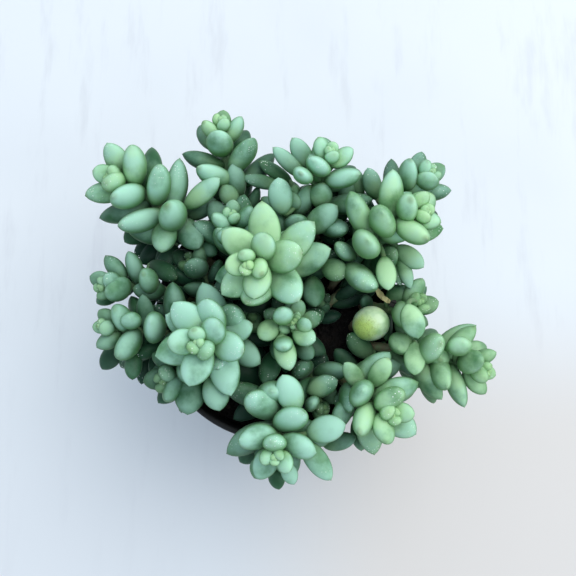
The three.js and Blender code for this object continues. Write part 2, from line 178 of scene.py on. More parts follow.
def capped_faces(rings: int, sides: int) -> list[Array]:
    """Faces of rings closed by a point at each end, those two points last.

    Args:
        rings: number of rings.
        sides: points a ring.

    Returns:
        The quads between the rings, then the triangles at the ends.
    """
    ring, side = np.meshgrid(np.arange(rings - 1), np.arange(sides), indexing="ij")
    after = (side + 1) % sides
    quads = [ring * sides + side, ring * sides + after, (ring + 1) * sides + after, (ring + 1) * sides + side]
    side, after = side[0], after[0]
    foot = np.stack([np.full(sides, rings * sides), after, side], axis=1)
    base = (rings - 1) * sides
    head = np.stack([np.full(sides, rings * sides + 1), base + side, base + after], axis=1)
    return [np.stack([corner.ravel() for corner in quads], axis=1), np.concatenate([foot, head])]


def tube(places: Array, radii: Array, sides: int) -> Shell:
    """A round tube along a line.

    Args:
        places: points of the line.
        radii: the tube's radius at each of them.
        sides: points round the tube.

    Returns:
        The points and the faces, its two end points last.
    """
    ways = np.gradient(places, axis=0)
    any_side = np.array([0.3, 0.9, 0.1])
    side = unit(np.cross(ways[0], any_side))
    angle = round_angles(sides)
    rings = []
    for point, way, radius in zip(places, ways, radii):
        way = unit(way)
        side = unit(side - way * np.dot(side, way))
        round_it = np.cos(angle)[:, None] * side + np.sin(angle)[:, None] * np.cross(way, side)
        rings.append(point + radius * round_it)
    return np.concatenate(rings + [places[:1], places[-1:]]), capped_faces(len(places), sides)


# Materials


@dataclass(frozen=True)
class Ease:
    """A soft step: an output from bottom to top as the input goes from low to high."""

    low: float
    high: float
    bottom: float = 0.0
    top: float = 1.0


@dataclass(frozen=True)
class Flesh:
    """Light that soaks into a skin: how much, how far by colour, and its scale in millimetres."""

    weight: float
    reach: Colour
    scale: float

    def sockets(self) -> Sockets:
        """The values for the shader's own sockets."""
        values = {"Subsurface Weight": self.weight, "Subsurface Radius": self.reach}
        return {**values, "Subsurface Scale": self.scale * MM}


class ShaderTree:
    """Adds nodes to a material's or a group's tree."""

    def __init__(self, tree: Tree) -> None:
        """Keeps the tree to write to."""
        self.tree = tree

    def feed(self, node: Node, sockets: Sockets) -> None:
        """Sets inputs of a node.

        Args:
            node: the node.
            sockets: for each input, a value or the output to link to it.
        """
        for name, value in sockets.items():
            if isinstance(value, Socket):
                self.tree.links.new(value, node.inputs[name])
            else:
                node.inputs[name].default_value = value

    def node(self, kind: str, sockets: Sockets | None = None, **settings: object) -> Node:
        """Adds a node.

        Args:
            kind: the node's type.
            sockets: for each input, a value or the output to link to it.
            settings: properties of the node.

        Returns:
            The node.
        """
        node = self.tree.nodes.new(kind)
        for name, value in settings.items():
            setattr(node, name, value)
        self.feed(node, sockets or {})
        return node

    def group(self, tree: Tree, **sockets: object) -> Node:
        """Places a node group with its own values."""
        return self.node("ShaderNodeGroup", sockets, node_tree=tree)

    def attribute(self, mark: Mark) -> Socket:
        """The value that the mesh carries for a mark."""
        return self.node("ShaderNodeAttribute", attribute_name=mark.value).outputs["Fac"]

    def place(self) -> Socket:
        """The point's place in the piece's own frame, in metres."""
        return self.node("ShaderNodeTexCoord").outputs["Object"]

    def parts(self, vector: Socket) -> bpy.types.bpy_prop_collection:
        """The X, Y and Z of a vector."""
        return self.node("ShaderNodeSeparateXYZ", {"Vector": vector}).outputs

    def upward(self) -> Socket:
        """How far the surface faces up, from -1 to 1, in the piece's own frame."""
        return self.parts(self.node("ShaderNodeTexCoord").outputs["Normal"])["Z"]

    def math(self, operation: str, *values: object, clamp: bool = False) -> Socket:
        """One step of arithmetic on values or outputs."""
        sockets = dict(enumerate(values))
        return self.node("ShaderNodeMath", sockets, operation=operation, use_clamp=clamp).outputs[0]

    def plus(self, first: object, second: object) -> Socket:
        """The sum of two values."""
        return self.math("ADD", first, second)

    def times(self, first: object, second: object) -> Socket:
        """The product of two values."""
        return self.math("MULTIPLY", first, second)

    def ramp(self, value: object, ease: Ease) -> Socket:
        """A value eased between two others.

        Args:
            value: the input.
            ease: the step that it takes.

        Returns:
            The eased value.
        """
        sockets = {"Value": value, "From Min": ease.low, "From Max": ease.high}
        sockets.update({"To Min": ease.bottom, "To Max": ease.top})
        return self.node("ShaderNodeMapRange", sockets, interpolation_type="SMOOTHSTEP").outputs["Result"]

    def noise(self, place: object, scale: object, detail: float = 3.0, roughness: float = 0.5) -> Socket:
        """A noise value from 0 to 1."""
        sockets = {"Vector": place, "Scale": scale, "Detail": detail, "Roughness": roughness}
        return self.node("ShaderNodeTexNoise", sockets).outputs["Fac"]

    def mix(self, share: object, first: object, second: object) -> Socket:
        """A colour between two others.

        Args:
            share: how much of the second colour.
            first: a colour or an output.
            second: a colour or an output.

        Returns:
            The mixed colour.
        """
        tones = [(*tone, 1.0) if isinstance(tone, tuple) else tone for tone in (first, second)]
        sockets = {0: share, 6: tones[0], 7: tones[1]}
        return self.node("ShaderNodeMix", sockets, data_type="RGBA", clamp_factor=True).outputs[2]

    def bump(self, height: object, strength: float, depth_mm: float) -> Socket:
        """A normal raised by a height, its full rise given in millimetres."""
        sockets = {"Height": height, "Strength": strength, "Distance": depth_mm * MM}
        return self.node("ShaderNodeBump", sockets).outputs["Normal"]


def new_group(
    name: str,
    values: dict[str, float],
    results: tuple[str, ...],
) -> tuple[ShaderTree, bpy.types.bpy_prop_collection, Node]:
    """Starts a shader node group that takes a place and some numbers.

    Args:
        name: the group's name.
        values: its number inputs, with their defaults.
        results: its number outputs.

    Returns:
        A writer for the group, the sockets that give its inputs, and the node that takes its outputs.
    """
    tree = bpy.data.node_groups.new(name, "ShaderNodeTree")
    tree.interface.new_socket(name="Vector", in_out="INPUT", socket_type="NodeSocketVector")
    for label, value in values.items():
        socket = tree.interface.new_socket(name=label, in_out="INPUT", socket_type="NodeSocketFloat")
        socket.default_value = value
    for label in results:
        tree.interface.new_socket(name=label, in_out="OUTPUT", socket_type="NodeSocketFloat")
    add = ShaderTree(tree)
    return add, add.node("NodeGroupInput").outputs, add.node("NodeGroupOutput")


@dataclass(frozen=True)
class Effects:
    """Node groups that more than one material uses."""

    bloom: Tree
    specks: Tree
    mottle: Tree

    @staticmethod
    def make() -> "Effects":
        """Builds the three groups."""
        return Effects(Effects.wax_bloom(), Effects.pale_specks(), Effects.mottling())

    @staticmethod
    def wax_bloom() -> Tree:
        """Soft patches where the waxy bloom of a leaf lies thick, rubbed thin between them.

        Returns:
            The group.
        """
        finer_by, rubbed_share, middle = 9.0, 0.12, 0.5
        add, given, out = new_group("Wax bloom", {"Scale": 120.0, "Cover": middle}, ("Mask",))
        patches = add.noise(given["Vector"], given["Scale"], detail=2.0)
        rubbed = add.noise(given["Vector"], add.times(given["Scale"], finer_by), detail=4.0, roughness=0.6)
        both = add.plus(add.times(patches, 1 - rubbed_share), add.times(rubbed, rubbed_share))
        shifted = add.plus(both, add.math("SUBTRACT", given["Cover"], middle))
        add.feed(out, {"Mask": add.ramp(shifted, Ease(0.32, 0.68))})
        return add.tree

    @staticmethod
    def pale_specks() -> Tree:
        """Scattered small dots, such as dried drops leave.

        Returns:
            The group.
        """
        soft_edge = 1.4
        values = {"Scale": 900.0, "Size": 0.2, "Cover": 0.5}
        add, given, out = new_group("Pale specks", values, ("Mask",))
        cells = add.node("ShaderNodeTexVoronoi", {"Vector": given["Vector"], "Scale": given["Scale"]})
        edge = add.times(given["Size"], soft_edge)
        fade = {"Value": cells.outputs["Distance"], "From Min": given["Size"], "From Max": edge}
        dots = add.node("ShaderNodeMapRange", {**fade, "To Min": 1.0, "To Max": 0.0}).outputs["Result"]
        chance = add.node("ShaderNodeSeparateColor", {"Color": cells.outputs["Color"]}).outputs["Red"]
        kept = add.math("LESS_THAN", chance, given["Cover"])
        add.feed(out, {"Mask": add.math("MULTIPLY", dots, kept, clamp=True)})
        return add.tree

    @staticmethod
    def mottling() -> Tree:
        """Faint uneven tone, coarse and fine, with a height for a matching bump.

        Returns:
            The group.
        """
        finer_by, fine_share = 5.0, 0.4
        add, given, out = new_group("Mottling", {"Scale": 300.0}, ("Mask", "Height"))
        coarse = add.noise(given["Vector"], given["Scale"])
        fine = add.noise(given["Vector"], add.times(given["Scale"], finer_by), roughness=0.6)
        height = add.plus(add.times(coarse, 1 - fine_share), add.times(fine, fine_share))
        add.feed(out, {"Mask": add.ramp(coarse, Ease(0.3, 0.7)), "Height": height})
        return add.tree


def new_material(name: str) -> tuple[Material, ShaderTree, Node]:
    """Starts a material.

    Args:
        name: the material's name.

    Returns:
        The material, a writer for its tree and its Principled node.
    """
    material = bpy.data.materials.new(name)
    material.use_nodes = True
    return material, ShaderTree(material.node_tree), material.node_tree.nodes["Principled BSDF"]


@dataclass(frozen=True)
class LeafFinish:
    """Plump blue-green leaf skin beneath a pale waxy bloom, with painted shade and some painted light in its
    colour.

    Each Ease says how a tint comes with the depth in the plant, the place along the leaf or the way that the
    skin faces. The depth in the plant, the downward faces and the edges seen side-on take painted shade, and
    the paler, thicker bloom on upward faces is partly real and partly painted light.
    """

    deep: Colour = (0.035, 0.145, 0.050)
    green: Colour = (0.190, 0.440, 0.180)
    # Green of the leaf roots, their own colour; the same green is painted shade on downward faces and side-on
    # edges.
    base_and_shade_green: Colour = (0.080, 0.240, 0.045)
    # Near-black painted shade for the depth in the plant.
    painted_shade_colour: Colour = (0.010, 0.042, 0.026)
    bloom: Colour = (0.462, 0.792, 0.628)
    warm_bloom: Colour = (0.496, 0.782, 0.446)
    young: Colour = (0.410, 0.680, 0.280)
    tip: Colour = (0.150, 0.210, 0.065)
    speck: Colour = (0.86, 0.93, 0.88)
    facing: Ease = Ease(-0.35, 0.85)
    tone_share: float = 0.55
    patch_share: float = 0.25
    # Painted shade: by the depth in the plant, on downward faces, and towards near black where deepest.
    painted_shade_share: float = 0.55
    painted_underside_shade: Ease = Ease(0.15, 0.75, 0.75, 0.0)
    ground_painted_shade: Ease = Ease(0.55, 1.0, 0.0, 0.8)
    under_along: Ease = Ease(0.05, 0.45, 0.55, 0.0)
    # The bloom thins with the painted shade of depth, and thickens on upward faces, partly as painted light.
    bloom_cover: Ease = Ease(0.0, 1.0, 0.62, 0.36)
    bloom_by_painted_shade: Ease = Ease(0.0, 1.0, 0.90, 0.22)
    bloom_and_painted_light_facing: Ease = Ease(0.1, 1.0, 0.22, 1.0)
    warm_along: Ease = Ease(0.15, 0.80, 0.45, -0.25)
    warm_patches: float = 0.2
    warm_bloom_share: Ease = Ease(0.25, 1.0)
    young_along: Ease = Ease(0.30, 1.0, 0.25, 0.75)
    tip_along: Ease = Ease(0.93, 1.0)
    tip_tone: Ease = Ease(0.45, 0.95, 0.10, 0.50)
    # Painted shade on edges seen side-on, and towards near black with the depth over all.
    painted_edge_shade: Ease = Ease(0.30, 0.92, 0.0, 0.64)
    body_painted_shade: Ease = Ease(0.02, 0.92, 0.0, 0.80)
    specks_along: Ease = Ease(0.60, 0.88)
    specks_facing: Ease = Ease(0.45, 0.95, 0.15, 1.0)
    speck_size: float = 0.23
    speck_cover: float = 0.30
    patch_scale: float = 260.0
    bloom_scale: float = 95.0
    speck_scale: float = 1500.0
    roughness: float = 0.46
    bloom_roughness: float = 0.16
    bump_mm: float = 0.07
    bump_strength: float = 0.35
    speck_rise: float = 0.5
    flesh: Flesh = Flesh(0.12, (0.6, 1.0, 0.45), 1.6)
    shine: float = 0.22
    sheen: float = 0.08
    sheen_roughness: float = 0.45
    sheen_tint: Colour = (0.82, 0.95, 1.0)

    def material(self, effects: Effects) -> Material:
        """Makes the leaf material.

        Args:
            effects: the shared node groups.

        Returns:
            The material.
        """
        material, add, skin = new_material("leaf_skin")
        # depth carries the painted shade of the plant's depth.
        place, depth = add.place(), add.attribute(Mark.DEPTH)
        along, tone = add.attribute(Mark.ALONG), add.attribute(Mark.TONE)
        facing = add.ramp(add.upward(), self.facing)
        patches = add.group(effects.mottle, Vector=place, Scale=self.patch_scale).outputs
        # The bloom's cover thins with the depth, as painted shade.
        cover = add.ramp(depth, self.bloom_cover)
        wax = add.group(effects.bloom, Vector=place, Scale=self.bloom_scale, Cover=cover).outputs["Mask"]
        dots = add.group(effects.specks, Vector=place, Scale=self.speck_scale, Size=self.speck_size,
                         Cover=self.speck_cover).outputs["Mask"]

        # Lightness from the random tone and mottling, less painted shade by depth.
        light = add.plus(add.times(tone, self.tone_share), add.times(patches["Mask"], self.patch_share))
        light = add.math("SUBTRACT", light, add.times(depth, self.painted_shade_share), clamp=True)
        ground = add.mix(light, self.deep, self.green)
        # Painted shade on downward faces and by depth; then the green of the leaf roots, their own colour.
        ground = add.mix(add.ramp(facing, self.painted_underside_shade), ground, self.base_and_shade_green)
        ground = add.mix(add.ramp(depth, self.ground_painted_shade), ground, self.painted_shade_colour)
        ground = add.mix(add.ramp(along, self.under_along), ground, self.base_and_shade_green)

        # The bloom share thins with painted shade by depth and grows on upward faces, partly as painted
        # light.
        share = add.times(wax, add.ramp(depth, self.bloom_by_painted_shade))
        share = add.times(share, add.ramp(facing, self.bloom_and_painted_light_facing))
        warm = add.plus(add.attribute(Mark.HUE), add.ramp(along, self.warm_along))
        warm = add.plus(warm, add.times(patches["Mask"], self.warm_patches))
        bloom = add.mix(add.ramp(warm, self.warm_bloom_share), self.bloom, self.warm_bloom)
        body = add.mix(share, ground, bloom)

        fresh = add.times(add.attribute(Mark.YOUTH), add.ramp(along, self.young_along))
        body = add.mix(fresh, body, self.young)
        ends = add.times(add.ramp(along, self.tip_along), add.ramp(tone, self.tip_tone))
        body = add.mix(ends, body, self.tip)
        # Painted shade on edges seen side-on, then painted shade by depth over all.
        edge = add.node("ShaderNodeLayerWeight", {"Blend": 0.5}).outputs["Facing"]
        body = add.mix(add.ramp(edge, self.painted_edge_shade), body, self.base_and_shade_green)
        body = add.mix(add.ramp(depth, self.body_painted_shade), body, self.painted_shade_colour)
        spots = add.times(add.ramp(along, self.specks_along), add.ramp(facing, self.specks_facing))
        spots = add.times(dots, add.times(add.attribute(Mark.SPECKS), spots))

        height = add.plus(patches["Height"], add.times(spots, self.speck_rise))
        add.feed(skin, {
            "Base Color": add.mix(spots, body, self.speck),
            "Roughness": add.plus(add.times(wax, self.bloom_roughness), self.roughness),
            "Normal": add.bump(height, self.bump_strength, self.bump_mm),
            **self.flesh.sockets(),
            "Specular IOR Level": self.shine,
            "Sheen Weight": self.sheen,
            "Sheen Roughness": self.sheen_roughness,
            "Sheen Tint": (*self.sheen_tint, 1.0),
        })
        return material


@dataclass(frozen=True)
class StemFinish:
    """Green stem skin that dries to brown towards the soil."""

    green: Colour = (0.14, 0.27, 0.12)
    dry: Colour = (0.20, 0.15, 0.09)
    drying: Ease = Ease(0.35, 1.1)
    mottle_share: float = 0.3
    mottle_scale: float = 500.0
    roughness: float = 0.62
    bump_mm: float = 0.3
    bump_strength: float = 0.7

    def material(self, effects: Effects) -> Material:
        """Makes the stem material.

        Args:
            effects: the shared node groups.

        Returns:
            The material.
        """
        material, add, skin = new_material("stem_skin")
        mottle = add.group(effects.mottle, Vector=add.place(), Scale=self.mottle_scale).outputs
        age = add.plus(add.attribute(Mark.ALONG), add.times(mottle["Mask"], self.mottle_share))
        add.feed(skin, {
            "Base Color": add.mix(add.ramp(age, self.drying), self.green, self.dry),
            "Roughness": self.roughness,
            "Normal": add.bump(mottle["Height"], self.bump_strength, self.bump_mm),
        })
        return material


@dataclass(frozen=True)
class OldLeafFinish:
    """Dull mottled skin of the swollen leaf, yellowing on one side."""

    pale: Colour = (0.78, 1.00, 0.66)
    green: Colour = (0.36, 0.62, 0.30)
    yellow: Colour = (0.60, 0.80, 0.20)
    moss: Colour = (0.30, 0.45, 0.08)
    brown: Colour = (0.16, 0.13, 0.06)
    root_green: Ease = Ease(0.55, 0.2)
    yellowing: Ease = Ease(0.45, 1.05, 0.0, 0.95)
    edge_mottle: float = 0.12
    thread: Ease = Ease(0.0, 0.05, 0.5, 0.0)
    threads_in: Ease = Ease(0.4, 0.9)
    speck_share: float = 0.45
    mottle_scale: float = 420.0
    bloom_scale: float = 190.0
    bloom_cover: float = 0.56
    thread_scale: float = 1100.0
    speck_scale: float = 700.0
    speck_size: float = 0.14
    speck_cover: float = 0.22
    roughness: float = 0.55
    bump_mm: float = 0.22
    bump_strength: float = 0.6
    flesh: Flesh = Flesh(0.30, (0.8, 1.0, 0.4), 3.0)

    def material(self, effects: Effects) -> Material:
        """Makes the old leaf's material.

        Args:
            effects: the shared node groups.

        Returns:
            The material.
        """
        material, add, skin = new_material("old_leaf_skin")
        place = add.place()
        mottle = add.group(effects.mottle, Vector=place, Scale=self.mottle_scale).outputs
        wax = add.group(effects.bloom, Vector=place, Scale=self.bloom_scale, Cover=self.bloom_cover)
        dots = add.group(effects.specks, Vector=place, Scale=self.speck_scale, Size=self.speck_size,
                         Cover=self.speck_cover)
        body = add.mix(wax.outputs["Mask"], self.green, self.pale)
        body = add.mix(add.ramp(add.attribute(Mark.ALONG), self.root_green), body, self.green)
        edge = add.plus(add.attribute(Mark.PATCH), add.times(mottle["Mask"], self.edge_mottle))
        body = add.mix(add.ramp(edge, self.yellowing), body, self.yellow)
        veins = add.noise(place, self.thread_scale, detail=2.0, roughness=0.4)
        threads = add.ramp(add.math("ABSOLUTE", add.math("SUBTRACT", veins, 0.5)), self.thread)
        body = add.mix(add.times(threads, add.ramp(edge, self.threads_in)), body, self.moss)
        add.feed(skin, {
            "Base Color": add.mix(add.times(dots.outputs["Mask"], self.speck_share), body, self.brown),
            "Roughness": self.roughness,
            "Normal": add.bump(mottle["Height"], self.bump_strength, self.bump_mm),
            **self.flesh.sockets(),
        })
        return material


@dataclass(frozen=True)
class PotFinish:
    """Thin black moulded plastic, scuffed and a little dusty."""

    black: Colour = (0.006, 0.007, 0.008)
    scuffed: Colour = (0.012, 0.0135, 0.0145)
    dust: Colour = (0.075, 0.072, 0.064)
    dust_share: float = 0.30
    speck_share: float = 0.5
    scuff_scale: float = 60.0
    dust_scale: float = 40.0
    dust_cover: float = 0.30
    speck_scale: float = 420.0
    speck_size: float = 0.10
    speck_cover: float = 0.25
    roughness: float = 0.46
    worn_roughness: float = 0.16
    bump_mm: float = 0.1
    bump_strength: float = 0.25
    shine: float = 0.26

    def material(self, effects: Effects) -> Material:
        """Makes the pot's material.

        Args:
            effects: the shared node groups.

        Returns:
            The material.
        """
        material, add, skin = new_material("pot_plastic")
        place = add.place()
        scuffs = add.group(effects.mottle, Vector=place, Scale=self.scuff_scale).outputs
        dust = add.group(effects.bloom, Vector=place, Scale=self.dust_scale, Cover=self.dust_cover)
        specks = add.group(effects.specks, Vector=place, Scale=self.speck_scale, Size=self.speck_size,
                           Cover=self.speck_cover)
        film = add.times(dust.outputs["Mask"], self.dust_share)
        dusty = add.math("ADD", film, add.times(specks.outputs["Mask"], self.speck_share), clamp=True)
        worn = add.times(add.plus(dusty, scuffs["Mask"]), self.worn_roughness)
        add.feed(skin, {
            "Base Color": add.mix(dusty, add.mix(scuffs["Mask"], self.black, self.scuffed), self.dust),
            "Roughness": add.plus(worn, self.roughness),
            "Normal": add.bump(scuffs["Height"], self.bump_strength, self.bump_mm),
            "Specular IOR Level": self.shine,
        })
        return material


@dataclass(frozen=True)
class SoilFinish:
    """Damp dark potting soil, with paler crumbs by their tone."""

    damp: Colour = (0.002, 0.0018, 0.0015)
    brown: Colour = (0.009, 0.006, 0.0045)
    bark: Colour = (0.032, 0.020, 0.012)
    grit: Colour = (0.22, 0.21, 0.19)
    bark_tone: Ease = Ease(0.45, 0.75, 0.0, 0.85)
    grit_tone: Ease = Ease(0.95, 0.97)
    mottle_scale: float = 450.0
    roughness: float = 0.92
    bump_mm: float = 0.5
    bump_strength: float = 0.9

    def material(self, effects: Effects) -> Material:
        """Makes the soil's material.

        Args:
            effects: the shared node groups.

        Returns:
            The material.
        """
        material, add, skin = new_material("soil_crumb")
        mottle = add.group(effects.mottle, Vector=add.place(), Scale=self.mottle_scale).outputs
        tone = add.attribute(Mark.TONE)
        body = add.mix(mottle["Mask"], self.damp, self.brown)
        body = add.mix(add.ramp(tone, self.bark_tone), body, self.bark)
        add.feed(skin, {
            "Base Color": add.mix(add.ramp(tone, self.grit_tone), body, self.grit),
            "Roughness": self.roughness,
            "Normal": add.bump(mottle["Height"], self.bump_strength, self.bump_mm),
        })
        return material


@dataclass(frozen=True)
class DryFinish:
    """Papery dead leaf and stem, straw to near black by their tone."""

    straw: Colour = (0.47, 0.44, 0.22)
    brown: Colour = (0.16, 0.09, 0.05)
    black: Colour = (0.012, 0.010, 0.010)
    browning: Ease = Ease(0.2, 0.6)
    blackening: Ease = Ease(0.7, 1.0)
    mottle_share: float = 0.2
    mottle_scale: float = 700.0
    roughness: float = 0.8
    bump_mm: float = 0.25
    bump_strength: float = 0.8

    def material(self, effects: Effects) -> Material:
        """Makes the material of the dried scraps.

        Args:
            effects: the shared node groups.

        Returns:
            The material.
        """
        material, add, skin = new_material("dry_scrap")
        mottle = add.group(effects.mottle, Vector=add.place(), Scale=self.mottle_scale).outputs
        tone = add.plus(add.attribute(Mark.TONE), add.times(mottle["Mask"], self.mottle_share))
        body = add.mix(add.ramp(tone, self.browning), self.straw, self.brown)
        add.feed(skin, {
            "Base Color": add.mix(add.ramp(tone, self.blackening), body, self.black),
            "Roughness": self.roughness,
            "Normal": add.bump(mottle["Height"], self.bump_strength, self.bump_mm),
        })
        return material


@dataclass(frozen=True)
class FloorFinish:
    """Plain pale floor with painted shade towards the front, a little warmer towards its near right corner.
    """

    pale: Colour = (0.80, 0.83, 0.86)
    worn: Colour = (0.76, 0.79, 0.825)
    stroke: Colour = (0.67, 0.69, 0.73)
    # Painted shade: the floor darkens to this towards the front, as the light falls off.
    front: Colour = (0.73, 0.755, 0.79)
    warm: Colour = (0.725, 0.678, 0.642)
    wear: Ease = Ease(0.35, 0.75)
    strokes: Ease = Ease(0.52, 0.72, 0.0, 0.55)
    front_painted_shade: Ease = Ease(0.04, -0.12, 0.0, 0.8)
    warm_right: Ease = Ease(-0.04, 0.06)
    warm_near: Ease = Ease(0.03, -0.05)
    warm_share: float = 0.9
    cloud_scale: float = 9.0
    stroke_scale: float = 70.0
    stroke_stretch: Place = (1.0, 0.16, 1.0)
    roughness: float = 0.6

    def material(self) -> Material:
        """Makes the floor's material.

        Returns:
            The material.
        """
        material, add, skin = new_material("pale_floor")
        place = add.place()
        stretched = add.node("ShaderNodeMapping", {"Vector": place, "Scale": self.stroke_stretch})
        strokes = add.noise(stretched.outputs["Vector"], self.stroke_scale, detail=4.0, roughness=0.65)
        floor = add.mix(add.ramp(add.noise(place, self.cloud_scale), self.wear), self.pale, self.worn)
        floor = add.mix(add.ramp(strokes, self.strokes), floor, self.stroke)
        x, y, _ = add.parts(place)
        # Painted shade, darker towards the front.
        floor = add.mix(add.ramp(y, self.front_painted_shade), floor, self.front)
        corner = add.times(add.ramp(x, self.warm_right), add.ramp(y, self.warm_near))
        floor = add.mix(add.times(corner, self.warm_share), floor, self.warm)
        add.feed(skin, {"Base Color": floor, "Roughness": self.roughness})
        return material


# The pot and its soil


@dataclass(frozen=True)
class PotShape:
    """Sizes of the pot and of the soil in it, in millimetres."""

    height: float = 80.0
    rim_radius: float = 45.0
    foot_radius: float = 32.0
    wall: float = 1.4
    rim_band: float = 9.0
    rim_step: float = 1.6
    edge_round: float = 0.7
    drain_holes: int = 6
    drain_radius: float = 2.6
    drain_circle: float = 21.0
    soil_top: float = 69.0
    soil_crown: float = 2.5
    seat_gap: float = 0.3

    def wall_radius(self, height: float) -> float:
        """Radius of the outer wall at a height below the rim band."""
        top = self.rim_radius - self.rim_step
        return self.foot_radius + (top - self.foot_radius) * (height / (self.height - self.rim_band))

    def soil_radius(self) -> float:
        """Radius of the inner wall at the soil line."""
        return self.wall_radius(self.soil_top) - self.wall

    def soil_height(self, radius: Array | float) -> Array:
        """Height of the soil's surface at a distance from the pot's axis."""
        share = np.asarray(radius) / self.soil_radius()
        return self.soil_top + self.soil_crown * np.maximum(0.0, 1.0 - share * share)


def rounded(outline: list[Pair], radius: float, steps: int = 4, most: float = 0.45) -> Array:
    """An open outline with its inner corners rounded.

    Args:
        outline: pairs of radius and height, from end to end.
        radius: of the rounding, cut down where a stretch is short.
        steps: points that each corner becomes, less one.
        most: the share of a stretch that a rounding may take.

    Returns:
        The rounded outline, one row a point.
    """
    points = [np.array(pair, float) for pair in outline]
    done = [points[0]]
    for before, corner, after in zip(points, points[1:], points[2:]):
        reach = min(radius, *(np.linalg.norm(end - corner) * most for end in (before, after)))
        start = corner + unit(before - corner) * reach
        stop = corner + unit(after - corner) * reach
        for share in np.linspace(0.0, 1.0, steps + 1):
            done.append((1 - share) ** 2 * start + 2 * share * (1 - share) * corner + share ** 2 * stop)
    done.append(points[-1])
    return np.array(done)


def turned(outline: Array, sides: int) -> Shell:
    """A turned shell about the pot's axis.

    Args:
        outline: radius and height a row, its first and last points on the axis.
        sides: points round the shell.

    Returns:
        The points and the faces.
    """
    angle = round_angles(sides)
    rings = outline[1:-1]
    x = rings[:, :1] * np.cos(angle)
    y = rings[:, :1] * np.sin(angle)
    z = np.repeat(rings[:, 1:], sides, axis=1)
    points = np.stack([x, y, z], axis=-1).reshape(-1, 3)
    ends = np.array([[0.0, 0.0, outline[0, 1]], [0.0, 0.0, outline[-1, 1]]])
    return np.concatenate([points, ends]), capped_faces(len(rings), sides)


@dataclass
class Pot:
    """The nursery pot: tapered thin wall, banded rim with a rolled lip, flat foot with drain holes."""

    shape: PotShape
    finish: PotFinish = PotFinish()
    sides: int = 128
    ridge: float = 0.35
    ridge_heights: Steps = (12.0, 64.0)
    ridge_top: float = 0.4
    ridge_foot: float = 0.8
    corner_round: float = 0.45
    hole_sides: int = 28
    sharp_from: float = 50.0

    def outline(self) -> Array:
        """The outline of the shell.

        Returns:
            Radius and height a row, from the underside's middle round to the inside's.
        """
        s = self.shape
        band_foot = s.height - s.rim_band
        inner = s.wall_radius(band_foot) - s.wall
        wall: list[Pair] = [(s.wall_radius(s.edge_round), s.edge_round)]
        for height in self.ridge_heights:
            ridge = s.wall_radius(height) + self.ridge
            wall.append((s.wall_radius(height), height - self.ridge_foot))
            wall += [(ridge, height - self.ridge_top), (ridge, height + self.ridge_top)]
            wall.append((s.wall_radius(height + self.ridge_foot), height + self.ridge_foot))
        outline = [
            (0.0, 0.0),
            (s.foot_radius - s.edge_round, 0.0),
            *wall,
            (s.wall_radius(band_foot), band_foot),
            (s.rim_radius - s.edge_round, band_foot),
            (s.rim_radius, band_foot + s.edge_round),
            (s.rim_radius, s.height - s.edge_round),
            (s.rim_radius - s.edge_round, s.height),
            (s.rim_radius - s.rim_step, s.height),
            (inner + s.edge_round, s.height - s.edge_round),
            (inner, band_foot),
            (s.wall_radius(s.wall) - s.wall, s.wall),
            (0.0, s.wall),
        ]
        return rounded(outline, self.corner_round)

    def drill(self) -> Piece:
        """Makes round bars at the places of the drain holes.

        Returns:
            The bars, as one object.
        """
        s = self.shape
        low, high = -s.wall, 2 * s.wall
        outline = np.array([[0.0, low], [s.drain_radius, low], [s.drain_radius, high], [0.0, high]])
        draft = MeshDraft()
        for number in range(s.drain_holes):
            angle = (number + 0.5) / s.drain_holes * FULL_TURN
            points, faces = turned(outline, self.hole_sides)
            points[:, 0] += s.drain_circle * math.cos(angle)
            points[:, 1] += s.drain_circle * math.sin(angle)
            draft.add(points, faces)
        return draft.build("drain_drill", [])

    def build(self, effects: Effects) -> Piece:
        """Makes the pot in place of its solid.

        Args:
            effects: the shared node groups.

        Returns:
            The pot.
        """
        draft = MeshDraft()
        draft.add(*turned(self.outline(), self.sides))
        pot = draft.build("nursery_pot", [self.finish.material(effects)])
        drill = self.drill()
        cut = pot.modifiers.new("drain_holes", "BOOLEAN")
        cut.operation, cut.object, cut.solver = "DIFFERENCE", drill, "EXACT"
        depsgraph = bpy.context.evaluated_depsgraph_get()
        cut_mesh = bpy.data.meshes.new_from_object(pot.evaluated_get(depsgraph))
        pot.modifiers.clear()
        pot.data = cut_mesh
        bpy.data.objects.remove(drill)
        pot.data.set_sharp_from_angle(angle=math.radians(self.sharp_from))
        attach(pot, "root")
        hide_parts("pot")
        return pot


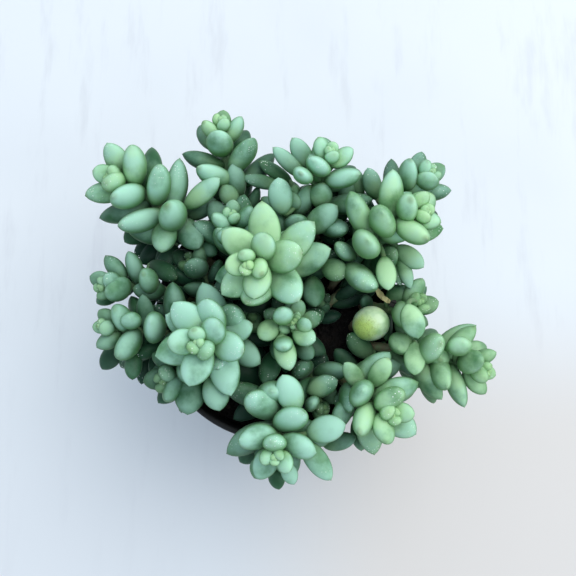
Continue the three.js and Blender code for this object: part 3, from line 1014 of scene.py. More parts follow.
@dataclass
class Soil:
    """The soil: a rough crumbly fill with loose crumbs, bark and a little pale grit on it."""

    shape: PotShape
    finish: SoilFinish = SoilFinish()
    sides: int = 120
    rings: int = 44
    edge_fade: float = 2.0
    waves: Steps = (9.0, 5.0, 2.8, 1.7)
    waves_each: int = 3
    wave_rise: float = 0.045
    grain: float = 0.25
    fill_tone: float = 0.2
    crumbs: int = 1500
    crumb_margin: float = 2.2
    smallest: float = 0.35
    larger_by: float = 1.25
    small_bias: float = 2.5
    crumb_lift: float = 0.35
    dents: Pair = (0.75, 1.25)
    squash: Pair = (0.45, 1.0)
    grit_above: float = 0.975
    darkest: float = 0.8
    seed: int = 11

    def surface(self, rng: Rng) -> Shell:
        """The fill as a closed shell with a rough top.

        Args:
            rng: source of the draws.

        Returns:
            The points and the faces.
        """
        s = self.shape
        edge = s.soil_radius() - s.seat_gap
        foot = s.wall + s.seat_gap
        foot_edge = s.wall_radius(foot) - s.wall - s.seat_gap
        radii = edge * np.linspace(1.0, 0.0, self.rings + 1)
        slope = [[radius, float(s.soil_height(radius))] for radius in radii]
        points, faces = turned(np.array([[0.0, foot], [foot_edge, foot], *slope]), self.sides)
        top = points[self.sides:-2]
        inward = np.clip((edge - np.hypot(top[:, 0], top[:, 1])) / self.edge_fade, 0, 1)
        top[:, 2] += self.rough(top[:, 0], top[:, 1], rng) * inward
        return points, faces

    def rough(self, x: Array, y: Array, rng: Rng) -> Array:
        """Uneven rise of the surface at places on it.

        Args:
            x: places along the first axis.
            y: places along the second axis.
            rng: source of the draws.

        Returns:
            The rise at each place, in millimetres.
        """
        rise = np.zeros_like(x)
        for wave in self.waves:
            for _ in range(self.waves_each):
                angle, phase = rng.uniform(0, math.pi), rng.uniform(0, FULL_TURN)
                along = x * math.cos(angle) + y * math.sin(angle)
                rise += self.wave_rise * wave * np.sin(along / wave * FULL_TURN + phase)
        return rise + rng.uniform(-self.grain, self.grain, len(x))

    @staticmethod
    def ball() -> Array:
        """The 12 corners of an even ball of 20 triangles, neighbours two apart.

        Returns:
            One row a corner.
        """
        corners = []
        for a in (-1.0, 1.0):
            for b in (-GOLDEN_SHARE, GOLDEN_SHARE):
                corners += [[0.0, a, b], [a, b, 0.0], [b, 0.0, a]]
        return np.array(corners)

    @staticmethod
    def ball_faces(ball: Array) -> Array:
        """Faces of the ball: each three corners that are neighbours.

        Args:
            ball: its corners.

        Returns:
            One row of three corner numbers a face, turned outwards.
        """
        just_over_two = 2.1
        near = np.linalg.norm(ball[:, None] - ball[None], axis=2) < just_over_two
        faces = []
        for i, j, k in itertools.combinations(range(len(ball)), 3):
            if near[i, j] and near[j, k] and near[i, k]:
                normal = np.cross(ball[j] - ball[i], ball[k] - ball[i])
                outward = np.dot(normal, ball[i] + ball[j] + ball[k]) > 0
                faces.append([i, j, k] if outward else [i, k, j])
        return np.array(faces)

    def add_crumbs(self, draft: MeshDraft, rng: Rng) -> None:
        """Adds loose crumbs: balls squashed and dented, most of them small.

        Args:
            draft: the mesh that takes them.
            rng: source of the draws.
        """
        corners = self.ball()
        faces = self.ball_faces(corners)
        ball = corners / math.hypot(1.0, GOLDEN_SHARE)
        for _ in range(self.crumbs):
            reach = (self.shape.soil_radius() - self.crumb_margin) * math.sqrt(rng.uniform())
            angle = rng.uniform(0, FULL_TURN)
            size = self.smallest + self.larger_by * rng.uniform() ** self.small_bias
            height = float(self.shape.soil_height(reach)) + self.crumb_lift * size
            middle = [reach * math.cos(angle), reach * math.sin(angle), height]
            tone = 1.0 if rng.uniform() > self.grit_above else rng.uniform(0.0, self.darkest)
            dents, squash = rng.uniform(*self.dents, (len(ball), 1)), rng.uniform(*self.squash, 3)
            draft.add(ball * dents * squash * size + middle, [faces], marks={Mark.TONE: tone})

    def build(self, effects: Effects) -> Piece:
        """Makes the soil in place of its solid.

        Args:
            effects: the shared node groups.

        Returns:
            The soil.
        """
        rng = np.random.default_rng(self.seed)
        draft = MeshDraft()
        draft.add(*self.surface(rng), marks={Mark.TONE: self.fill_tone})
        self.add_crumbs(draft, rng)
        soil = draft.build("potting_soil", [self.finish.material(effects)], smooth=False)
        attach(soil, "root")
        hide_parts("soil")
        return soil


# The plant


@dataclass(frozen=True)
class PhotoView:
    """The photo's camera: its place in millimetres and its tilt from straight down in degrees.

    lens and sensor are in millimetres too, and frame is the width of the photo in pixels.
    """

    place: Place = (3.65, -35.6, 340.8)
    tilt: float = 10.0
    lens: float = 45.0
    sensor: float = 36.0
    frame: float = 576.0

    def at(self, pixel: Pixel, height: float) -> Array:
        """The point at a height that the photo shows at a pixel.

        Args:
            pixel: across and down in the photo.
            height: above the floor, in millimetres.

        Returns:
            The point, in millimetres.
        """
        focal = self.lens / self.sensor * self.frame
        across, up = (pixel[0] - self.frame / 2) / focal, (self.frame / 2 - pixel[1]) / focal
        tilt = math.radians(self.tilt)
        ray = np.array([across, up * math.cos(tilt) + math.sin(tilt), up * math.sin(tilt) - math.cos(tilt)])
        place = np.array(self.place)
        return place + ray * (height - place[2]) / ray[2]


@dataclass(frozen=True)
class PlacedLeaf:
    """A leaf that the photo shows and the rule doesn't give.

    root and tip are its ends as pixels of the photo, low and high their heights and width its own, in
    millimetres. Its thickness is a share of its width, and its skin that of a leaf of the given age.
    """

    root: Pixel
    tip: Pixel
    low: float
    high: float
    width: float
    thick_share: float = 0.8
    age: float = 8.0

    def leaf(self, view: PhotoView, shift: float) -> "Leaf":
        """The leaf in place, its heights shifted and its look from above kept.

        Args:
            view: the photo's camera.
            shift: what its heights are raised by, in millimetres.

        Returns:
            The leaf.
        """
        root, tip = view.at(self.root, self.low + shift), view.at(self.tip, self.high + shift)
        run = unit(tip - root)
        face = unit(np.array([0.0, 0.0, 1.0]) - run * run[2])
        length = float(np.linalg.norm(tip - root))
        return Leaf(root, run, face, self.width, length, self.width * self.thick_share, self.age)


PLACED_LEAVES = tuple(PlacedLeaf(*row) for row in (
    # Between the left high and the back left stems
    ((184, 208), (221, 179), 88, 94, 6.8),
    ((186, 218), (217, 200), 82, 86, 6.4),
    ((180, 219), (200, 250), 86, 92, 8.8),
    ((193, 236), (217, 256), 80, 84, 6.2),
    ((152, 222), (125, 243), 86, 88, 7.4),
    ((168, 234), (135, 256), 82, 84, 7.0),
    ((176, 244), (160, 273), 80, 82, 6.6),
    ((196, 254), (192, 281), 80, 88, 6.4),
    ((212, 266), (206, 296), 80, 82, 7.0),
    ((167, 216), (162, 254), 90, 94, 8.2),
    ((236, 206), (222, 185), 90, 95, 6.4),
    # Behind the crown, and round the back stem
    ((281, 186), (243, 178), 84, 86, 4.8),
    ((292, 182), (258, 162), 86, 90, 4.8),
    ((306, 178), (272, 148), 92, 98, 5.4),
    ((313, 170), (291, 138), 97, 104, 6.4),
    ((306, 176), (299, 176), 94, 106, 6.8),
    ((283, 215), (278, 177), 90, 98, 8.2),
    ((318, 208), (324, 182), 86, 92, 7.6),
    ((306, 232), (338, 206), 86, 92, 8.4),
    ((322, 264), (347, 276), 86, 88, 7.4),
    ((312, 276), (315, 308), 92, 96, 7.4),
    # Left end of the back right stem
    ((350, 208), (343, 173), 88, 94, 6.2),
    ((361, 197), (354, 168), 88, 92, 5.0),
    ((377, 200), (367, 168), 92, 97, 6.2),
    ((372, 232), (342, 226), 86, 88, 6.0),
    ((356, 238), (349, 269), 80, 86, 7.8),
    ((384, 256), (388, 291), 93, 95, 6.6),
    ((393, 248), (400, 286), 89, 90, 4.8),
    ((399, 252), (410, 289), 87, 88, 4.8),
    ((396, 246), (423, 268), 88, 89, 6.4),
    # On the middle stem
    ((280, 334), (290, 371), 97, 99, 7.0),
    ((282, 338), (285, 351), 93, 105, 6.2),
    ((277, 322), (259, 339), 96, 99, 6.8),
    ((285, 324), (281, 307), 94, 102, 6.4),
    ((300, 331), (309, 319), 96, 100, 5.0),
    ((293, 332), (316, 341), 96, 99, 6.4),
    ((300, 325), (321, 315), 90, 93, 5.6),
    ((297, 343), (313, 359), 88, 91, 6.0),
    ((276, 350), (264, 385), 91, 96, 7.0),
    # Right of the swollen leaf
    ((407, 304), (418, 339), 95, 97, 7.6),
    ((403, 300), (398, 331), 86, 90, 5.0),
    ((404, 336), (397, 352), 86, 97, 8.2),
    ((415, 342), (414, 376), 88, 92, 6.8),
    ((386, 301), (409, 288), 80, 84, 6.6),
    ((399, 314), (415, 343), 82, 84, 7.4),
    # On the right stem
    ((437, 351), (439, 363), 88, 99, 7.4),
    ((456, 352), (463, 340), 90, 100, 7.8),
    # Between the middle, front and front right stems
    ((306, 381), (326, 353), 80, 84, 7.8),
    ((307, 392), (338, 380), 83, 86, 6.8),
    ((313, 405), (311, 402), 80, 90, 5.6),
    ((358, 375), (334, 349), 80, 85, 6.4),
    ((366, 390), (343, 362), 86, 93, 6.0),
    ((362, 398), (333, 403), 88, 92, 6.8),
    ((371, 387), (389, 357), 88, 94, 6.4),
    ((364, 373), (386, 341), 80, 86, 5.4),
    ((372, 357), (347, 334), 75, 79, 7.0),
    ((323, 446), (356, 437), 82, 84, 5.8),
    ((359, 414), (361, 451), 80, 82, 6.4),
    ((306, 434), (346, 424), 88, 92, 8.6),
    # Below the front left stem
    ((192, 374), (188, 415), 84, 86, 9.6),
    ((212, 374), (220, 411), 90, 92, 8.4),
    # Round the front stem's tip
    ((268, 458), (254, 478), 92, 93, 7.2),
    ((274, 464), (279, 489), 88, 87, 5.4),
    ((284, 461), (294, 484), 90, 89, 5.2),
    ((302, 440), (331, 480), 88, 90, 7.0),
    ((257, 446), (240, 462), 88, 88, 6.0),
    ((297, 412), (282, 374), 90, 96, 8.6),
    # Round the left stem
    ((135, 327), (127, 314), 88, 97, 6.6),
    ((138, 333), (135, 356), 88, 90, 6.0),
    ((149, 335), (153, 336), 82, 93, 6.8),
    ((149, 334), (143, 294), 84, 89, 5.8),
    ((134, 350), (133, 380), 82, 83, 5.8),
    ((147, 352), (142, 384), 80, 79, 5.4),
    ((157, 350), (158, 381), 82, 84, 6.0),
    ((120, 344), (103, 369), 84, 82, 6.8),
    ((165, 372), (167, 398), 80, 82, 5.6),
    # Behind the lower left stems
    ((172, 238), (141, 264), 80, 81, 7.6),
    ((162, 247), (169, 277), 78, 79, 6.8),
    ((150, 262), (178, 280), 78, 82, 6.4),
))


@dataclass(frozen=True)
class StemRow:
    """Where and how a stem grows; lengths in millimetres, angles in degrees.

    foot is where it stands in the soil, tip its growing tip, lean the tip's angle from upright and heading
    the way it leans, turn the turn of its first leaf, hand the hand of its spiral, width and slim a full
    leaf's, pitch the step between full leaves, full the age at which they are full size, spread how far they
    open, leaves how many its solid has, and warmth how yellow its green is, from 0 to a little over 1.
    """

    name: str
    foot: Pair
    tip: Place
    lean: float
    heading: float
    turn: float
    hand: int
    width: float
    slim: float
    pitch: float
    full: float
    spread: float
    leaves: int
    warmth: float


STEMS = tuple(StemRow(*row) for row in (
    ("stem_crown", (1, 13), (-9, 11, 118), 38, -119, 297, -1, 10.1, 1.75, 2, 10, 66, 24, 1.0),
    ("stem_front_left", (-15, -8), (-25, -13, 112), 11, -120, 283, -1, 9.6, 1.65, 1.6, 8.5, 68, 21, 0.4),
    ("stem_middle", (2, -7), (5.5, -5, 100), 14, -119, 318, -1, 7, 1.95, 1.9, 11, 78, 16, 0.8),
    ("stem_front", (-2, -26), (-0.5, -49, 102), 20, -117, 350, 1, 9.8, 1.75, 1.8, 9.5, 72, 20, 0.15),
    ("stem_front_right", (21, -21), (38, -35.5, 100), 17, 0, 335, -1, 9.3, 1.7, 1.8, 8, 60, 20, 0.85),
    ("stem_right", (29, -10), (71.5, -20.5, 92), 45, -25, 152, -1, 8.6, 1.8, 1.8, 9, 66, 19, 1.2),
    ("stem_back_right", (20, 12), (49.5, 31.5, 108), 39, -19, 74, -1, 9.8, 1.7, 1.9, 9.5, 60, 23, 1.0),
    ("stem_back_right_low", (24, 21), (54, 48.5, 99), 11, -1, 140, -1, 8.2, 1.65, 1.9, 9, 48, 16, 0.5),
    ("stem_back_left", (-9, 28), (-20, 67, 100), 23, 64, 112, 1, 8.8, 1.75, 2.2, 9, 60, 19, 0.75),
    ("stem_back", (15, 28), (18.4, 53.8, 105), 14, 51, 114, -1, 8.4, 1.65, 2.1, 8, 68, 20, 0.4),
    ("stem_left_high", (-22, 17), (-57, 45, 104), 25, -138, 333, 1, 9.6, 1.65, 2.1, 7, 60, 22, 0.55),
    ("stem_left_low", (-28, 6), (-60.9, 7.9, 96), 27, -125, 254, -1, 7.8, 1.6, 1.7, 9.5, 59, 14, 0.0),
    ("stem_left", (-28, -8), (-60.2, -5.2, 95), 39, 173, 141, 1, 10.1, 1.65, 2.2, 9.5, 71, 18, 0.0),
    ("stem_left_front", (-22, -20), (-39, -24, 92), 27, -127, 85, 1, 8, 1.6, 1.7, 7.5, 50, 15, 0.0),
    ("stem_inner_left", (-12, 16), (-16, 33, 98), 11, 41, 113, 1, 8.4, 1.75, 1.7, 9, 57, 14, 0.0),
    ("stem_inner_back", (6, 21), (8.5, 41, 93), 26, -15, 350, -1, 8.2, 1.7, 1.9, 8, 59, 14, 0.4),
    ("stem_inner_right", (32, 5), (49.5, 3, 93), 34, 85, 124, -1, 8.4, 1.75, 1.5, 9.5, 62, 12, 1.0),
    ("stem_inner_middle", (16, 3), (39.5, 16.5, 88), 27, -51, 107, -1, 8.8, 1.9, 1.8, 7, 49, 12, 0.9),
    ("stem_inner_front", (9, -17), (13.5, -27, 85), 36, -117, 66, -1, 8, 1.8, 1.5, 8, 62, 11, 0.5),
    ("stem_inner_side", (-20, 4), (-31, 18.5, 88), 16, -168, 40, 1, 8.4, 1.7, 1.7, 7.5, 62, 10, 0.1),
))


SMALL_SHOOTS = tuple(StemRow(*row) for row in (
    ("shoot_front_inside", (12, -24), (16, -33, 84), 24, -60, 210, -1, 7.8, 1.7, 1.5, 7, 64, 14, 0.5),
    ("shoot_left_inside", (-24, 0), (-30, 2, 86), 22, 170, 160, 1, 7.8, 1.7, 1.5, 7, 62, 14, 0.5),
    ("shoot_middle_left", (-8, 2), (-9, -3, 88), 14, -100, 130, -1, 7.6, 1.7, 1.5, 7, 62, 14, 0.5),
    ("shoot_middle_right", (12, -2), (15, 4, 84), 14, 20, 200, 1, 7.6, 1.7, 1.5, 7, 62, 14, 0.5),
))


@dataclass(frozen=True)
class Opening:
    """A place that the photo shows bare between the leaves: its pixel, height and radius in millimetres."""

    pixel: Pixel
    height: float
    radius: float


OPENINGS = (
    Opening((226, 412), 86.0, 5.0),
    Opening((240, 425), 88.0, 4.5),
    Opening((212, 404), 86.0, 4.0),
    Opening((334, 291), 88.0, 4.5),
    Opening((343, 309), 84.0, 4.5),
)


@dataclass(frozen=True)
class Bend:
    """A leaf that the photo shows aside from its solid.

    stem and age say which leaf it is, turn how far it turns about upright in degrees, and share how much of
    its size it keeps.
    """

    stem: str
    age: int
    turn: float
    share: float


BENDS = (
    Bend("stem_front", 17, -28.0, 0.8),
    Bend("stem_crown", 14, 11.0, 0.88),
    Bend("stem_crown", 18, 30.0, 0.95),
    Bend("stem_front_left", 15, 0.0, 0.75),
    Bend("stem_front_left", 18, 0.0, 0.82),
    Bend("stem_front_right", 14, 0.0, 0.78),
    Bend("stem_inner_right", 9, 0.0, 0.75),
    Bend("stem_inner_right", 11, 0.0, 0.80),
)


@dataclass(frozen=True)
class Growth:
    """The rule that every stem and leaf grows by; lengths in millimetres, angles in degrees."""

    stem_radius: float = 1.7
    buried: float = 9.0
    foot_pull: float = 0.36
    tip_pull: float = 0.34
    spine_steps: int = 80
    lowest_leaf: float = 5.0
    bud_share: float = 0.2
    bud_slim: float = 0.62
    bud_thick: float = 0.9
    full_thick: float = 0.78
    bud_tilt: float = 14.0
    bud_pitch: float = 0.25
    pitch_ages: float = 4.0
    eased: float = 0.5
    opening_age: float = 7.5
    opening_power: float = 1.7
    late_ages: float = 6.0
    late_width: float = 0.06
    late_length: float = 0.22
    root_out: float = 0.6
    root_ages: float = 4.0
    size_draw: float = 0.05
    turn_draw: float = 3.0
    arch: float = 0.08
    base_power: float = 0.62
    tip_power: float = 0.60
    facet_swell: float = 1.06
    leaf_gap: float = 0.35
    ball_shares: Steps = (0.13, 0.3, 0.5, 0.7, 0.88)
    first_seed: int = 41

    def outline(self, share: Array | float) -> Array:
        """Half width of a leaf, as a share of its widest.

        Args:
            share: of the leaf's length.

        Returns:
            The half width at each share.
        """
        widest = self.base_power / (self.base_power + self.tip_power)
        peak = widest ** self.base_power * (1 - widest) ** self.tip_power
        share = np.asarray(share, float)
        return share ** self.base_power * (1 - share) ** self.tip_power / peak


class Draws:
    """Seeded draws from -1 to 1, the same on each run and the same as the solids'."""

    factor: int = 1664525
    step: int = 1013904223
    span: int = 2 ** 32

    def __init__(self, seed: int) -> None:
        """Starts from a seed."""
        self.state = seed

    def next(self) -> float:
        """The next draw."""
        self.state = (self.state * self.factor + self.step) % self.span
        return self.state / (self.span // 2) - 1


@dataclass(frozen=True)
class Nudge:
    """A small change of a leaf's size, tilt and turn that bends it clear of a neighbour."""

    scale: float = 1.0
    tilt: float = 0.0
    turn: float = 0.0


@dataclass
class Leaf:
    """A leaf in place: its root, the way it runs, the way its upper face looks, and its size."""

    root: Array
    run: Array
    face: Array
    width: float
    length: float
    thick: float
    age: float

    def balls(self, growth: Growth) -> Balls:
        """Balls that hold the leaf.

        Args:
            growth: the growth rule.

        Returns:
            Their middles, one row each, and their radii.
        """
        share = np.array(growth.ball_shares)[:, None]
        rise = self.face * growth.arch * self.length * share * share
        middles = self.root + self.run * share * self.length + rise
        return middles, growth.outline(share[:, 0]) * growth.facet_swell * self.width / 2

    def bent(self, turn: float, share: float) -> "Leaf":
        """The leaf turned about upright at its root.

        Args:
            turn: in degrees.
            share: of its size that it keeps.

        Returns:
            The bent leaf.
        """
        way = Matrix.Rotation(math.radians(turn), 3, "Z")
        run, face = np.array(way @ Vector(self.run)), np.array(way @ Vector(self.face))
        width, length, thick = self.width * share, self.length * share, self.thick * share
        return Leaf(self.root, run, face, width, length, thick, self.age)


def leaning(lean: float, heading: float) -> Array:
    """Unit vector that leans from upright by an angle, towards a heading, both in degrees."""
    lean, heading = math.radians(lean), math.radians(heading)
    return np.array([math.sin(lean) * math.cos(heading), math.sin(lean) * math.sin(heading), math.cos(lean)])


class Stem:
    """A stem with its line, the places of its leaves, and the leaves grown on it."""

    def __init__(self, row: StemRow, order: int, growth: Growth, pot: PotShape) -> None:
        """Readies the stem.

        Args:
            row: its row of the table.
            order: its number in the table, which sets its draws.
            growth: the growth rule.
            pot: the pot that it stands in.
        """
        self.row, self.growth = row, growth
        tip = np.array(row.tip, float)
        ground = np.array([*row.foot, pot.soil_top + pot.soil_crown], float)
        span = np.linalg.norm(tip - ground)
        axis = leaning(row.lean, row.heading)
        rise = np.array([0, 0, growth.foot_pull * span])
        pulls = [tip, tip - axis * growth.tip_pull * span, ground + rise, ground]
        t = np.linspace(0, 1, growth.spine_steps + 1)[:, None]
        self.points = ((1 - t) ** 3 * pulls[0] + 3 * (1 - t) ** 2 * t * pulls[1]
                       + 3 * (1 - t) * t * t * pulls[2] + t ** 3 * pulls[3])
        steps = np.linalg.norm(np.diff(self.points, axis=0), axis=1)
        self.lengths = np.concatenate([[0.0], np.cumsum(steps)])
        self.total = float(self.lengths[-1])
        self.places = self.leaf_places()
        self.draws = Draws(growth.first_seed + order)
        self.leaves: list[Leaf] = []
        self.missed: list[tuple[int, Draw]] = []

    def leaf_places(self) -> list[float]:
        """Where leaves stand: close in the bud, and then evenly down to the soil.

        Returns:
            Their lengths from the tip.
        """
        g, places, length, age = self.growth, [], 0.0, 0
        while length < self.total - g.lowest_leaf:
            places.append(length)
            length += self.row.pitch * (1 - (1 - g.bud_pitch) * math.exp(-age / g.pitch_ages))
            age += 1
        return places

    def along(self, length: float) -> tuple[Array, Array]:
        """Follows the stem down from its tip.

        Args:
            length: from the tip.

        Returns:
            The place there, and the way that the stem grows.
        """
        i = int(np.clip(np.searchsorted(self.lengths, length), 1, len(self.points) - 1))
        share = (length - self.lengths[i - 1]) / (self.lengths[i] - self.lengths[i - 1])
        point = self.points[i - 1] * (1 - share) + self.points[i] * share
        return point, unit(self.points[i - 1] - self.points[i])

    def at_age(self, age: float) -> tuple[Array, Array]:
        """Where a leaf of an age stands on the stem, and the way the stem grows there."""
        return self.along(float(np.interp(age, np.arange(len(self.places)), self.places)))

    def draw_leaf(self) -> Draw:
        """Draws for a leaf's size, tilt and turn."""
        return self.draws.next(), self.draws.next(), self.draws.next()

    def plan(self, age: float, draw: Draw, nudge: Nudge) -> Leaf:
        """A leaf's place, size and direction, from its age.

        Args:
            age: 0 is the youngest, at the tip.
            draw: its draws for size, tilt and turn.
            nudge: what bends it clear of a neighbour.

        Returns:
            The leaf.
        """
        g, row = self.growth, self.row
        grown = min(1.0, age / row.full)
        by = (1 - g.eased) * grown + g.eased * grown * grown * (3 - 2 * grown)
        size = (g.bud_share + (1 - g.bud_share) * by) * (1 + g.size_draw * draw[0])
        late = min(1.0, max(0.0, age - row.full) / g.late_ages)
        width = row.width * size * (1 + g.late_width * late) * nudge.scale
        length = width * row.slim * (g.bud_slim + (1 - g.bud_slim) * grown) * (1 + g.late_length * late)
        opened = 1 - math.exp(-((age / g.opening_age) ** g.opening_power))
        tilt = math.radians(g.bud_tilt + row.spread * opened + g.turn_draw * draw[1] + nudge.tilt)
        turn = math.radians(row.turn + row.hand * GOLDEN_ANGLE * age + g.turn_draw * draw[2] + nudge.turn)
        point, grow = self.at_age(age)
        side = unit(np.array([1.0, 0.0, 0.0]) - grow * grow[0])
        out = side * math.cos(turn) + np.cross(grow, side) * math.sin(turn)
        root = point + out * g.root_out * min(1.0, age / g.root_ages)
        run = grow * math.cos(tilt) + out * math.sin(tilt)
        face = grow * math.sin(tilt) - out * math.cos(tilt)
        thick = width * (g.bud_thick + (g.full_thick - g.bud_thick) * grown)
        return Leaf(root, run, face, width, length, thick, age)


@dataclass(frozen=True)
class OldLeafShape:
    """The swollen leaf and its stub, in millimetres and degrees."""

    foot: Pair = (28.0, -3.0)
    root: Place = (29.5, -3.5, 79.0)
    lean: float = 10.0
    shown_root: Place = (30.6, -3.3, 79.0)
    shown_lean: float = 14.0
    heading: float = -12.0
    width: float = 12.6
    length: float = 17.0
    thick_share: float = 0.95
    sunk: float = 3.0
    age: float = 99.0

    def leaf(self, shown: bool) -> Leaf:
        """The leaf in place.

        Args:
            shown: true for the leaf as the photo shows it, false for its solid, which stems keep clear of.

        Returns:
            The leaf.
        """
        run = leaning(self.shown_lean if shown else self.lean, self.heading)
        root = np.array(self.shown_root if shown else self.root)
        face = unit(np.array([1.0, 0.0, 0.0]) - run * run[0])
        return Leaf(root, run, face, self.width, self.length, self.width * self.thick_share, self.age)


class Crowd:
    """All the stems of the plant, grown together so that no leaf runs through another stem's."""

    def __init__(self, growth: Growth, pot: PotShape, old_leaf: OldLeafShape) -> None:
        """Readies the stems and what they keep clear of.

        Args:
            growth: the growth rule.
            pot: the pot.
            old_leaf: the swollen leaf.
        """
        self.growth, self.pot = growth, pot
        self.stems = [Stem(row, order, growth, pot) for order, row in enumerate(STEMS)]
        self.placed: list[Leaf] = []
        self.middles = np.zeros((0, 3))
        self.radii = np.zeros(0)
        self.owners = np.zeros(0, int)
        for order, stem in enumerate(self.stems):
            line = [stem.along(length)[0] for length in np.arange(0.0, stem.total, growth.stem_radius)]
            self.take(np.array(line), np.full(len(line), growth.stem_radius), order)
        self.take(*old_leaf.leaf(shown=False).balls(growth), -1)
        heights = np.arange(pot.soil_top, old_leaf.root[2], growth.stem_radius)
        stub = [[*old_leaf.foot, height] for height in heights]
        self.take(np.array(stub), np.full(len(stub), growth.stem_radius), -1)

    def take(self, middles: Array, radii: Array, owner: int) -> None:
        """Notes balls as taken up.

        Args:
            middles: of the balls, one row each.
            radii: of the balls.
            owner: number of the stem that takes them up, or -1 for anything else.
        """
        self.middles = np.concatenate([self.middles, middles])
        self.radii = np.concatenate([self.radii, radii])
        self.owners = np.concatenate([self.owners, np.full(len(radii), owner)])

    def clear_of_pot(self, middles: Array, radii: Array, gap: float) -> bool:
        """Whether balls lie clear of the pot's wall and rim and of the soil.

        Args:
            middles: of the balls, one row each.
            radii: of the balls.
            gap: the least clearance.

        Returns:
            True where all do.
        """
        out = np.hypot(middles[:, 0], middles[:, 1])
        beside = np.maximum(np.maximum(self.pot.soil_radius() - out, out - self.pot.rim_radius), 0.0)
        above = np.maximum(middles[:, 2] - self.pot.height, 0.0)
        rim = np.hypot(beside, above) >= radii + gap
        soil = (out > self.pot.rim_radius) | (middles[:, 2] - radii > self.pot.soil_height(out) + gap)
        return bool((rim & soil).all())

    def others_near(self, point: Array, owner: int, reach: float = 45.0) -> Balls:
        """The balls within a leaf's reach of a point, without those that the owner takes up."""
        near = (self.owners != owner) & (np.linalg.norm(self.middles - point, axis=1) < reach)
        return self.middles[near], self.radii[near]

    @staticmethod
    def room(middles: Array, radii: Array, taken: Balls) -> float:
        """The least gap between balls and those already taken up, below zero where they overlap."""
        apart = np.linalg.norm(taken[0][None] - middles[:, None], axis=2)
        return float((apart - taken[1][None] - radii[:, None]).min(initial=math.inf))

    @staticmethod
    def nudges(scales: Steps, tilts: Steps, turns: Steps = (0.0, 12.0, -12.0)) -> list[Nudge]:
        """Changes of place to try, from none to the largest."""
        return [Nudge(*change) for change in itertools.product(scales, tilts, turns)]

    def keep(self, order: int, leaf: Leaf, taken: Balls, gap: float) -> bool:
        """Adds a leaf to its stem if it is clear of the pot and of the other stems.

        Args:
            order: number of its stem.
            leaf: the leaf in place.
            taken: the balls of the others near it.
            gap: the least clearance.

        Returns:
            True where it was added.
        """
        middles, radii = leaf.balls(self.growth)
        free = self.clear_of_pot(middles, radii, gap) and self.room(middles, radii, taken) > gap
        if free:
            self.stems[order].leaves.append(leaf)
            self.take(middles, radii, order)
        return free

    def settle(self, order: int, age: int, draw: Draw, nudges: list[Nudge], gap: float) -> bool:
        """Grows one leaf where the first nudge finds it room.

        Args:
            order: number of its stem.
            age: of the leaf.
            draw: its draws.
            nudges: changes to try in turn.
            gap: the least clearance.

        Returns:
            True where it found room.
        """
        stem = self.stems[order]
        taken = self.others_near(stem.along(stem.places[age])[0], order)
        return any(self.keep(order, stem.plan(age, draw, nudge), taken, gap) for nudge in nudges)

    def grow(self) -> None:
        """Grows the leaves that the solids have, the youngest of all stems first."""
        nudges = self.nudges(scales=(1.0, 0.88, 0.76, 0.64), tilts=(0.0, -12.0, 12.0, -24.0, -36.0))
        for age in range(max(stem.row.leaves for stem in self.stems)):
            for order, stem in enumerate(self.stems):
                if age < min(stem.row.leaves, len(stem.places)):
                    draw = stem.draw_leaf()
                    if not self.settle(order, age, draw, nudges, self.growth.leaf_gap):
                        stem.missed.append((age, draw))

    def bend(self) -> None:
        """Bends the leaves that the photo shows aside from their solids, and keeps their first room free."""
        for bend in BENDS:
            leaves = next(stem.leaves for stem in self.stems if stem.row.name == bend.stem)
            number = next(i for i, leaf in enumerate(leaves) if leaf.age == bend.age)
            leaves[number] = leaves[number].bent(bend.turn, bend.share)
            LOG.info("bent leaf %d of %s", bend.age, bend.stem)

    def keep_open(self, view: PhotoView) -> None:
        """Notes the places that the photo shows bare as taken, so that no leaf is added there."""
        for opening in OPENINGS:
            self.take(view.at(opening.pixel, opening.height)[None], np.array([opening.radius]), -1)

    def between(self, order: int, age: float, turn: float, own_gap: float, gap: float) -> bool:
        """Grows a leaf between two others where it finds room beside its own stem's leaves too.

        Args:
            order: number of its stem.
            age: between those of its neighbours.
            turn: the first turn to try, from the spiral's own.
            own_gap: the least clearance to its own stem's leaves.
            gap: the least clearance to all else.

        Returns:
            True where it found room.
        """
        steps, step_turn = 12, 30.0
        turns = tuple(turn + step_turn * step for step in range(steps))
        stem = self.stems[order]
        own = [leaf.balls(self.growth) for leaf in stem.leaves]
        siblings = tuple(np.concatenate([balls[kind][1:] for balls in own]) for kind in (0, 1))
        taken = self.others_near(stem.at_age(age)[0], order)
        draw = stem.draw_leaf()
        for nudge in self.nudges(scales=(0.95, 0.8, 0.66), tilts=(0.0, 14.0, -12.0), turns=turns):
            leaf = stem.plan(age, draw, nudge)
            middles, radii = leaf.balls(self.growth)
            beside = self.room(middles[2:], radii[2:], siblings) > own_gap
            if beside and self.keep(order, leaf, taken, gap):
                return True
        return False

    def place(self, view: PhotoView, shifts: Steps = (0, -2, 2, -4, 4, -6, 6), gap: float = -0.9) -> None:
        """Sets the placed leaves, each raised or lowered to where it presses least into the rest.

        Args:
            view: the photo's camera.
            shifts: changes of height to try, in millimetres.
            gap: the clearance at which a height is good enough.
        """
        for placed in PLACED_LEAVES:
            best, most = None, -math.inf
            for shift in shifts:
                leaf = placed.leaf(view, shift)
                middles, radii = leaf.balls(self.growth)
                if not self.clear_of_pot(middles, radii, gap):
                    continue
                room = self.room(middles, radii, (self.middles, self.radii))
                if room > most:
                    best, most = leaf, room
                if room > gap:
                    break
            LOG.info("placed %s -> %s: room %.1f mm", placed.root, placed.tip, most)
            if best is not None:
                self.placed.append(best)
        for leaf in self.placed:
            self.take(*leaf.balls(self.growth), -1)

